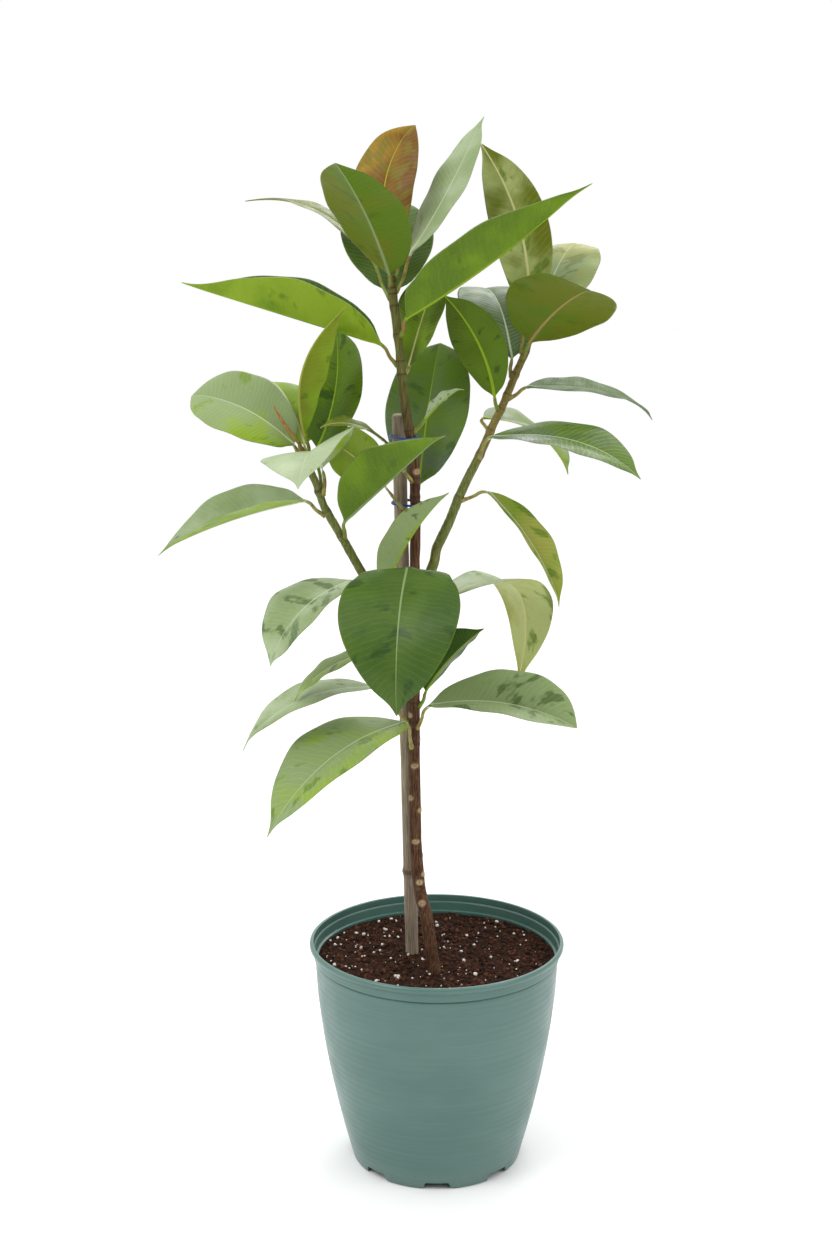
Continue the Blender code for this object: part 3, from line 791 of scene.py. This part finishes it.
def wire_paint():
    """Blue plastic coat over tie wire, scuffed paler in places."""
    paint = Paint("tie_plastic", 0.35)
    place = paint.place()
    scuff = paint.step(paint.noise(place, 700.0, 3.0), 0.5, 0.7)
    paint.put("Base Color", paint.mix(scuff, (0.015, 0.055, 0.33), (0.05, 0.13, 0.55)))
    paint.bump(paint.noise(place, 1500.0), 0.2, 0.2 * MM)
    return paint.material


def sheath_paint():
    """Thin bud sheath: orange-red, paler green towards its root, with long veins."""
    paint = Paint("sheath_skin", 0.42)
    place = paint.place()
    height = paint.split(place)[2]
    streaks = paint.grain(place, 0.15, 900.0, 3.0)
    red = paint.blend(streaks, 0.35, 0.7, (0.34, 0.10, 0.03), (0.50, 0.24, 0.08))
    paint.put("Base Color", paint.blend(height, 0.69, 0.712, (0.24, 0.24, 0.05), red))
    paint.bump(streaks, 0.3, 0.3 * MM)
    return paint.material


def scar_spreads(height, angle, width):
    """How far a point of the trunk is from the middle of each leaf scar near it; a scar's edge is at one."""
    for scar_height, degrees in SCARS:
        if abs(height - scar_height) <= 8 * MM:
            turn = (angle - math.radians(degrees) + math.pi) % (2 * math.pi) - math.pi
            yield math.hypot(turn * width / SCAR_WIDE, (height - scar_height) / SCAR_TALL)


def build_stem(node, paint, stalk_feet, sides, sink, uneven, scarred=False):
    """A stem with ribbed bark, a raised ring where each leaf leaves it, and old leaf scars if scarred."""
    centres, radii = stem_line(node, 9 * MM)
    lengths = np.concatenate([[0.0], np.cumsum(np.linalg.norm(np.diff(centres, axis=0), axis=1))])
    at = np.linspace(0.0, lengths[-1], int(lengths[-1] / STEM_STEP))
    line, widths = smooth_line(lengths, centres, at), smooth_line(lengths, radii, at)
    if sink:
        outward = unit(line[0] - line[3])
        steps = np.linspace(sink, 0.0, 8, endpoint=False)
        line = np.concatenate([line[0] + steps[:, None] * outward, line])
        widths = np.concatenate([np.full(len(steps), widths[0]), widths])
        widths = widths * (1 + ROOT_FLARE * np.exp(-np.linalg.norm(line - line[0], axis=1) / (9 * MM)))
    feet = [foot for foot in stalk_feet if np.linalg.norm(line - foot, axis=1).min() < NEAR_STEM]
    rings_at = [line[np.linalg.norm(line - foot, axis=1).argmin()][2] for foot in feet]
    angles = 2 * np.pi * np.arange(sides) / sides
    offsets, joints, scars = (np.zeros((len(line), sides)) for _ in range(3))
    for index, (centre, width) in enumerate(zip(line, widths)):
        for height in rings_at:
            offsets[index] += JOINT_RISE * peak(centre[2] - height, 2.2 * MM)
            groove = peak(centre[2] - height - 1.5 * MM, 0.5 * MM)
            joints[index] = np.maximum(joints[index], groove)
        for side, angle in enumerate(angles):
            point = centre + width * level(angle)
            ribbed = Vector((point[0] * 700, point[1] * 700, point[2] * 35))
            offsets[index, side] += BARK_RIB * noise.noise(ribbed) + uneven * ripple(point, 60.0)
            for spread in scar_spreads(centre[2], angle, width) if scarred else ():
                mark = np.clip(3 - 2.2 * spread, 0, 1) + np.clip(1.5 - 3 * spread, 0, 1)
                scars[index, side] = max(scars[index, side], mark)
                offsets[index, side] += SCAR_RISE * math.exp(-((spread / 1.25) ** 4))
    vertices, faces = tube_mesh(swept_points(line, widths, sides, offsets))
    label = node.replace("_stem", "_trunk").replace("branch", "shoot")
    piece = add_piece(label, vertices, faces, (node,), (paint,))
    tube_values(piece, "joint", joints)
    tube_values(piece, "scar", scars)
    return line, widths


def build_cane(sides=36):
    """The cane as turned wood: slightly uneven, with one knot, and a chamfered cut at the top."""
    points, edges = cad_mesh("support_cane")
    low, high = points[:, 2].min() + 12 * MM, points[:, 2].max() - 12 * MM
    (foot, radius), (top, _) = [
        section(points, edges, np.array([0.0, 0.0, height]), UP) for height in (low, high)
    ]
    along = unit(top - foot)
    foot, top = foot - 10 * MM * along, top + 11.2 * MM * along
    steps = np.linspace(0.0, np.linalg.norm(top - foot), 330)
    line = foot + steps[:, None] * along
    offsets, joints = np.zeros((len(line), sides)), np.zeros((len(line), sides))
    for index, centre in enumerate(line):
        near = peak(centre[2] - KNOT_HEIGHT, 3.5 * MM)
        end = min(1.0, (steps[-1] - steps[index]) / (1.6 * MM))
        for side in range(sides):
            angle = 2 * math.pi * side / sides
            point = centre + radius * level(angle)
            grain = noise.noise(Vector((point[0] * 900, point[1] * 900, point[2] * 12)))
            facing = 0.5 - 0.5 * math.cos(angle - math.radians(60))
            offsets[index, side] = 0.25 * MM * grain + 0.25 * MM * ripple(centre, 30.0)
            offsets[index, side] += KNOT_RISE * near * facing - 1.1 * MM * (1 - end)
            joints[index, side] = 0.8 * near * facing
    vertices, faces = tube_mesh(swept_points(line, np.full(len(line), radius), sides, offsets))
    piece = add_piece("wooden_cane", vertices, faces, ("support_cane",), (cane_paint(),))
    tube_values(piece, "joint", joints)
    return foot, top, radius


def build_tie(node, trunk, cane, paint):
    """Two coated wires twisted together round stem and cane, with a short twisted end in front."""
    low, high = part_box(node)
    height, wire = (low.z + high.z) / 2, (high.z - low.z) / 2
    line, widths = trunk
    nearest = np.abs(line[:, 2] - height).argmin()
    foot, top, cane_radius = cane
    share = (height - foot[2]) / (top[2] - foot[2])
    circles = [(line[nearest], widths[nearest]), (foot + share * (top - foot), cane_radius)]
    loop = []
    for index in range(TIE_POINTS):
        angle = 2 * math.pi * index / TIE_POINTS
        outward = level(angle)
        centre, radius = max(circles, key=lambda circle: circle[0] @ outward + circle[1])
        place = centre + outward * (radius + wire + 0.5 * MM)
        loop.append((place[0], place[1], height + TIE_SLOPE * math.sin(angle + 0.6)))
    loop = np.array(loop)
    away = loop - loop.mean(axis=0)
    away[:, 2] = 0
    away = away / np.linalg.norm(away, axis=1)[:, None]
    vertices, faces = [], []

    def add_wire(path, closed):
        reaches = np.full(len(path), 0.8 * wire)
        rings = swept_points(path, reaches, TIE_SIDES, reference=UP, closed=closed)
        start = len(vertices)
        if closed:
            points, strip = np.concatenate(rings), loop_faces(len(rings), TIE_SIDES)
        else:
            points, strip = tube_mesh(rings)
        vertices.extend(points)
        faces.extend(tuple(start + corner for corner in face) for face in strip)

    reach = np.linspace(0.0, 1.0, 40)
    tail = loop[np.argmin(loop[:, 1])] + reach[:, None] * TIE_TAIL * MM
    for strand in (0.0, math.pi):
        twist = strand + 2 * math.pi * TIE_TURNS * np.arange(TIE_POINTS) / TIE_POINTS
        coil = np.cos(twist)[:, None] * away + np.sin(twist)[:, None] * UP
        add_wire(loop + 0.5 * wire * coil, True)
    for strand in (0.0, math.pi):
        twist = strand + 9.0 * math.pi * reach
        coil = np.cos(twist)[:, None] * RIGHT + np.sin(twist)[:, None] * UP
        add_wire(tail + 0.6 * wire * coil, False)
    add_piece(node.replace("plant_tie", "twisted_tie"), vertices, faces, (node,), (paint,))


def build_sheath(sides=24, steps=60):
    """The pointed bud sheath: a rolled, slightly keeled spindle."""
    points, edges = cad_mesh("bud_sheath")
    spread = points - points.mean(axis=0)
    axis = np.linalg.svd(spread)[2][0]
    axis = axis if axis[2] > 0 else -axis
    reach = spread @ axis
    spots = np.linspace(reach.min() + 0.6 * MM, reach.max() - 0.6 * MM, 12)
    found = [section(points, edges, points.mean(axis=0) + spot * axis, axis) for spot in spots]
    centres = np.array([centre for centre, _ in found])
    radii = np.array([radius for _, radius in found])
    at = np.linspace(spots[0], spots[-1], steps)
    angles = 2 * np.pi * np.arange(sides) / sides
    keel = 0.25 * MM * np.maximum(0.0, np.cos(angles)) ** 6 + 0.12 * MM * np.sin(3 * angles)
    offsets = np.outer(np.sin(np.pi * np.linspace(0, 1, steps)), keel)
    line = smooth_line(spots, centres, at)
    rings = swept_points(line, smooth_line(spots, radii, at), sides, offsets)
    sunk = rings[0] + 2.5 * MM * unit(line[0] - line[1])
    vertices, faces = tube_mesh([sunk, *rings])
    add_piece("bud_spindle", vertices, faces, ("bud_sheath",), (sheath_paint(),))


def build_bud(name, line, width, length, paint):
    """A small pointed bud on the end of a stem."""
    direction = unit(line[-1] - line[-6])
    share = np.linspace(0.0, 1.0, 26)
    path = line[-1] - 2 * MM * direction + share[:, None] * length * direction
    path = path + 0.08 * length * np.sin(np.pi * share)[:, None] * RIGHT
    swell = width * (0.75 + 0.5 * np.sin(np.pi * np.clip(share * 1.3, 0, 1))) * (1 - share) ** 0.75
    angles = 2 * np.pi * np.arange(16) / 16
    wrap = np.outer(np.sin(np.pi * share), 0.15 * MM * np.sin(2 * angles + 0.6))
    vertices, faces = tube_mesh(swept_points(path, np.maximum(swell, 0.15 * MM), 16, wrap))
    piece = add_piece(name, vertices, faces, (), (paint,))
    point_values(piece, "joint", np.zeros(len(vertices)))


# Pot and soil



def outer_radius(points, edges, height):
    """Greatest distance from the upright axis of a node's mesh at a height."""
    heights = points[:, 2] - height
    first, second = heights[edges[:, 0]], heights[edges[:, 1]]
    crossed = first * second < 0
    share = (first[crossed] / (first[crossed] - second[crossed]))[:, None]
    start, end = points[edges[crossed, 0]], points[edges[crossed, 1]]
    return np.linalg.norm((start + share * (end - start))[:, :2], axis=1).max()


def pot_paint():
    """Moulded grey-green plastic: satin, faintly brushed round, dusty at the foot."""
    paint = Paint("pot_plastic", 0.4)
    place = paint.place()
    height = paint.split(place)[2]
    cloud = paint.grain(place, 2.5, 9.0, 3.0)
    rings = paint.noise(paint.stretch(place, (0.02, 0.02, 1.0)), 420.0, 3.0)
    grain = paint.noise(place, 1600.0)
    colour = paint.blend(cloud, 0.35, 0.65, (0.056, 0.140, 0.118), (0.068, 0.158, 0.134))
    colour = paint.blend(rings, 0.5, 0.75, colour, (0.16, 0.28, 0.25), 0.12)
    dust = paint.times(paint.step(height, 0.0, 0.03, 1.0, 0.0), paint.step(grain, 0.45, 0.62))
    colour = paint.mix(paint.times(dust, 0.35), colour, (0.26, 0.31, 0.27))
    paint.put("Base Color", colour)
    paint.put("Roughness", paint.step(paint.noise(place, 40.0, 3.0), 0.35, 0.65, 0.30, 0.40))
    paint.put("Specular IOR Level", 0.7)
    relief = paint.plus(paint.times(rings, 0.6), paint.times(grain, 0.4))
    paint.bump(relief, 0.14, 0.25 * MM)
    return paint.material


def profile(radius, height, *offsets):
    """Places on the pot's outline: mm outward and up from a radius and a height."""
    return [(radius + outward * MM, height + up * MM) for outward, up in offsets]


def build_pot():
    """The nursery pot: rolled lip, band, step, rippled wall and notched foot."""
    points, edges = cad_mesh("pot")
    low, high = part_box("pot")
    rim, top = (high.x - low.x) / 2, high.z
    band_top, band_foot = top - LIP_FOOT, top - BAND_FOOT
    band = outer_radius(points, edges, (band_top + band_foot) / 2)
    foot = outer_radius(points, edges, 3 * MM)
    outside = profile(
        rim, top, (-3.6, -0.35), (-2.6, 0), (-1.5, -0.25), (-0.55, -1.0), (-0.1, -2.0), (0, -3.2),
        (-0.25, -4.5), (-0.9, -5.5), (-2.0, -6.1),
    )
    outside += profile(band, top, (0.25, -6.4), (0, -7.2))
    outside += profile(band, top, *((-0.05 * step, -7.2 - 1.1 * step) for step in range(1, 7)))
    outside += profile(band, band_foot, (-0.5, 0.5), (-2.6, -0.1), (-2.7, -0.8), (-2.0, -1.4))
    for height in np.arange(band_foot - 2 * MM, 4 * MM, -1.1 * MM):
        wave = RIPPLE_DEPTH * math.sin(2 * math.pi * height / RIPPLE_PITCH)
        wave *= min(1.0, (height - 3 * MM) / (20 * MM))
        outside.append((outer_radius(points, edges, height) + wave, height))
    outside += profile(foot, 0.0, (-0.1, 2.6), (-0.5, 1.0), (-1.2, 0.3), (-2.2, 0))
    outside.append((foot * 0.5, 0.0))
    inside = [(foot * 0.5, POT_FLOOR), (foot - 2.0 * MM, POT_FLOOR)]
    for height in np.arange(6 * MM, band_foot - 8 * MM, 6 * MM):
        inside.append((outer_radius(points, edges, height) - POT_WALL, height))
    inside += profile(band, band_foot, (-4.6, -2), (-4.5, -1), (-2.5, -0.2), (-2.2, 1))
    inside += profile(band, band_top, (-1.9, -2), (-1.7, -1.4), (-0.5, -0.6))
    inside += profile(rim, top, (-4.0, -1.6))
    rows = outside + inside
    vertices = turned_points(rows, POT_SIDES)
    under, floor = len(vertices), len(vertices) + 1
    vertices += [(0.0, 0.0, 0.0), (0.0, 0.0, POT_FLOOR)]
    inner = len(outside) * POT_SIDES
    edge = inner - POT_SIDES
    faces = loop_faces(len(rows), POT_SIDES)
    del faces[edge:inner]  # the strip from the underside to the floor, which both close at the middle
    for side in range(POT_SIDES):
        after = (side + 1) % POT_SIDES
        faces.append((under, edge + side, edge + after))
        faces.append((floor, inner + after, inner + side))
    piece = add_piece("moulded_pot", vertices, faces, ("pot",), (pot_paint(),))
    face_outward(piece)
    cut_notches(piece, foot)
    piece.data.shade_smooth()
    piece.data.set_sharp_from_angle(angle=math.radians(42))


def cut_notches(piece, foot):
    """Cuts the drainage notches through the foot of the wall."""
    shape = bmesh.new()
    for index in range(NOTCHES):
        angle = 2 * math.pi * index / NOTCHES + math.radians(FRONT_ANGLE)
        outward = level(angle)
        sideways = np.array([-outward[1], outward[0], 0.0])
        corners = []
        for reach in (foot - 9 * MM, foot + 8 * MM):
            for half, height in ((NOTCH_HALF[0], -2 * MM), (NOTCH_HALF[1], NOTCH_HEIGHT)):
                for side in (-1, 1):
                    spot = reach * outward + side * half * sideways + height * UP
                    corners.append(shape.verts.new(spot))
        for quad in ((0, 1, 3, 2), (4, 6, 7, 5), (0, 4, 5, 1), (2, 3, 7, 6), (0, 2, 6, 4), (1, 5, 7, 3)):
            shape.faces.new([corners[i] for i in quad])
    bmesh.ops.recalc_face_normals(shape, faces=shape.faces)
    mesh = bpy.data.meshes.new("notches")
    shape.to_mesh(mesh)
    shape.free()
    cutter = bpy.data.objects.new("notches", mesh)
    bpy.context.scene.collection.objects.link(cutter)
    boolean = piece.modifiers.new("notches", "BOOLEAN")
    boolean.operation = "DIFFERENCE"
    boolean.solver = "EXACT"
    boolean.object = cutter
    bpy.context.view_layer.update()
    evaluated = piece.evaluated_get(bpy.context.evaluated_depsgraph_get())
    carved = bpy.data.meshes.new_from_object(evaluated)
    piece.modifiers.remove(boolean)
    piece.data = carved
    bpy.data.objects.remove(cutter, do_unlink=True)


def soil_paint():
    """Dark peaty compost with reddish fibres."""
    paint = Paint("compost", 0.95)
    place = paint.place()
    clumps = paint.noise(place, 260.0, 5.0, 0.7)
    fine = paint.noise(place, 1100.0, 3.0, 0.7)
    colour = paint.blend(clumps, 0.36, 0.66, (0.008, 0.004, 0.003), (0.060, 0.024, 0.013))
    colour = paint.blend(fine, 0.55, 0.72, colour, (0.12, 0.050, 0.028), 0.8)
    paint.put("Base Color", colour)
    paint.put("Specular IOR Level", 0.1)
    paint.bump(paint.plus(clumps, fine), 1.0, 1.6 * MM)
    return paint.material


def crumb_paint():
    """Crumbs of compost and bark, from nearly black to red-brown."""
    paint = Paint("crumbs", 0.92)
    place = paint.place()
    kind = paint.stored("grain")
    fine = paint.noise(place, 1400.0, 3.0, 0.7)
    colour = paint.blend(kind, 0.2, 0.9, (0.010, 0.005, 0.004), (0.10, 0.038, 0.020))
    paint.put("Base Color", paint.blend(fine, 0.45, 0.7, colour, (0.15, 0.065, 0.038), 0.6))
    paint.put("Specular IOR Level", 0.15)
    paint.bump(fine, 0.8, 0.6 * MM)
    return paint.material


def perlite_paint():
    """White, chalky perlite, stained a little by the soil."""
    paint = Paint("perlite", 0.9)
    place = paint.place()
    stain = paint.noise(place, 500.0, 3.0, 0.7)
    paint.put("Base Color", paint.blend(stain, 0.45, 0.75, (0.80, 0.77, 0.72), (0.45, 0.36, 0.29)))
    paint.bump(paint.noise(place, 1500.0, 3.0), 0.8, 0.5 * MM)
    return paint.material


def soil_height(x, y, mound, edge):
    """Height of the lumpy soil at a point."""
    share = math.hypot(x, y) / edge
    base = mound + 2.0 * MM * math.cos(2.2 * math.pi * share)
    lumps = 1.6 * MM * ripple((x, y, 0.0), 45.0) + 1.1 * MM * ripple((x, y, 0.3), 140.0)
    return base + lumps + 0.5 * MM * ripple((x, y, 0.7), 420.0)


def build_soil():
    """The soil surface with its crumbs and perlite."""
    low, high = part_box("soil")
    edge = (high.x - low.x) / 2
    mound = high.z - SOIL_MOUND
    points, edges = cad_mesh("soil")
    flat = turned_points([(edge * ring / SOIL_RINGS, 0.0) for ring in range(1, SOIL_RINGS + 1)], SOIL_SIDES)
    vertices = [(x, y, soil_height(x, y, mound, edge)) for x, y, _ in flat]
    heights = [low.z + share * (mound - low.z) for share in (0.8, 0.5, 0.25, 0.02)]
    wall = [(outer_radius(points, edges, height), height) for height in heights]
    vertices += turned_points(wall, SOIL_SIDES)
    faces = grid_faces(SOIL_RINGS + len(wall), SOIL_SIDES)
    top, foot = len(vertices), len(vertices) + 1
    last = top - SOIL_SIDES
    vertices += [(0.0, 0.0, soil_height(0, 0, mound, edge)), (0.0, 0.0, low.z)]
    for side in range(SOIL_SIDES):
        after = (side + 1) % SOIL_SIDES
        faces.append((top, side, after))
        faces.append((foot, last + after, last + side))
    add_piece("compost", vertices, faces, ("soil",), (soil_paint(),))
    build_grains("soil_crumbs", CRUMBS, (0.5 * MM, 2.3 * MM), crumb_paint(), mound, edge, 11, 0.3)
    build_grains("perlite_grains", PERLITE, (0.6 * MM, 2.0 * MM), perlite_paint(), mound, edge, 23, 0.7)


def build_grains(name, count, sizes, paint, mound, edge, seed, rise):
    """Rough grains scattered over the soil, all in one piece."""
    ball = bmesh.new()
    bmesh.ops.create_icosphere(ball, subdivisions=2, radius=1.0)
    corners = np.array([vertex.co for vertex in ball.verts])
    triangles = np.array([[vertex.index for vertex in face.verts] for face in ball.faces])
    ball.free()
    chance = np.random.default_rng(seed)
    vertices, faces, kinds = [], [], []
    for index in range(count):
        reach = (edge - 4 * MM) * math.sqrt(chance.uniform(0.0, 1.0))
        angle = chance.uniform(0.0, 2 * math.pi)
        x, y = reach * math.cos(angle), reach * math.sin(angle)
        size = sizes[0] + (sizes[1] - sizes[0]) * chance.uniform(0.0, 1.0) ** 2.2
        squash = size * chance.uniform(0.6, 1.2, 3)
        turn, tilt = chance.uniform(0, 2 * math.pi), chance.uniform(-0.5, 0.5)
        cos_turn, sin_turn = math.cos(turn), math.sin(turn)
        cos_tilt, sin_tilt = math.cos(tilt), math.sin(tilt)
        spin = np.array([[cos_turn, -sin_turn, 0], [sin_turn, cos_turn, 0], [0, 0, 1]])
        lean = np.array([[cos_tilt, 0, sin_tilt], [0, 1, 0], [-sin_tilt, 0, cos_tilt]])
        rough = [1 + 0.32 * noise.noise(Vector(c) * 1.6 + Vector((index, 0, 0))) for c in corners]
        grain = (corners * np.array(rough)[:, None] * squash) @ (spin @ lean).T
        centre = np.array([x, y, soil_height(x, y, mound, edge) + rise * size])
        faces.extend((triangles + len(vertices)).tolist())
        vertices.extend(grain + centre)
        kinds.extend([chance.uniform(0.0, 1.0)] * len(corners))
    piece = add_piece(name, vertices, faces, (), (paint,))
    point_values(piece, "grain", kinds)


# Stage


def build_floor():
    """A wide, plain pale floor."""
    mesh = bpy.data.meshes.new("studio_floor")
    corners = [(x * FLOOR_HALF, y * FLOOR_HALF, 0) for x, y in ((-1, -1), (1, -1), (1, 1), (-1, 1))]
    mesh.from_pydata(corners, [], [(0, 1, 2, 3)])
    floor = bpy.data.objects.new("studio_floor", mesh)
    bpy.context.scene.collection.objects.link(floor)
    floor.location.z = -0.4 * MM
    paint = Paint("floor_paper", 0.9)
    paint.put("Base Color", (0.93, 0.93, 0.93))
    mesh.materials.append(paint.material)


def add_area_light(name, place, size, power):
    """A soft square light turned to face the plant."""
    data = bpy.data.lights.new(name, "AREA")
    data.size = size
    data.energy = power
    light = bpy.data.objects.new(name, data)
    light.location = place
    light.rotation_euler = (Vector(LIT_POINT) - Vector(place)).to_track_quat("-Z", "Y").to_euler()
    bpy.context.scene.collection.objects.link(light)


def build_light():
    """A white studio: plain white to look at, lighting more from above and behind than from in front."""
    world = bpy.data.worlds.new("studio")
    bpy.context.scene.world = world
    world.use_nodes = True
    nodes, links = world.node_tree.nodes, world.node_tree.links

    def remap(value, *numbers):
        """The value taken from one range to another, whose ends may themselves be linked."""
        node = nodes.new("ShaderNodeMapRange")
        for socket, number in zip(node.inputs, (value, *numbers)):
            if isinstance(number, bpy.types.NodeSocket):
                links.new(number, socket)
            else:
                socket.default_value = number
        return node.outputs[0]

    direction = nodes.new("ShaderNodeSeparateXYZ")
    links.new(nodes.new("ShaderNodeTexCoord").outputs["Generated"], direction.inputs[0])
    around = remap(direction.outputs["Y"], -0.5, 0.5, FRONT_GLOW, BACK_GLOW)
    glow = remap(direction.outputs["Z"], 0.25, 0.7, around, TOP_GLOW)
    seen = remap(nodes.new("ShaderNodeLightPath").outputs["Is Camera Ray"], 0.0, 1.0, glow, 1.0)
    background = nodes["Background"]
    background.inputs["Color"].default_value = (1.0, 1.0, 1.0, 1.0)
    links.new(seen, background.inputs["Strength"])
    for name, place, size, power in LIGHTS:
        add_area_light(name, place, size, power)


def build_camera():
    """The camera at the front, looking slightly down."""
    data = bpy.data.cameras.new("front_camera")
    data.lens = LENS
    data.sensor_width = SENSOR
    camera = bpy.data.objects.new("front_camera", data)
    camera.location = CAMERA_PLACE
    camera.rotation_euler = (math.radians(90 - CAMERA_PITCH), 0.0, 0.0)
    bpy.context.scene.collection.objects.link(camera)
    bpy.context.scene.camera = camera


def main():
    bpy.context.scene.view_settings.view_transform = "Standard"
    feet = [build_leaf(node, look, seed) for seed, (node, look) in enumerate(LOOKS.items())]
    bark, shoot = bark_paint(), shoot_paint()
    trunk = build_stem("main_stem", bark, feet, 40, 0.0, 0.5 * MM, scarred=True)
    build_stem("left_branch", shoot, feet, 28, 7 * MM, 0.2 * MM)
    right_line, right_widths = build_stem("right_branch", shoot, feet, 28, 7 * MM, 0.2 * MM)
    cane = build_cane()
    wire = wire_paint()
    for node in ("plant_tie_upper", "plant_tie_lower"):
        build_tie(node, trunk, cane, wire)
    build_sheath()
    build_bud("trunk_bud", trunk[0], trunk[1][-1], 15 * MM, shoot)
    build_bud("right_bud", right_line, right_widths[-1], 14 * MM, shoot)
    build_pot()
    build_soil()
    build_floor()
    build_light()
    build_camera()


main()
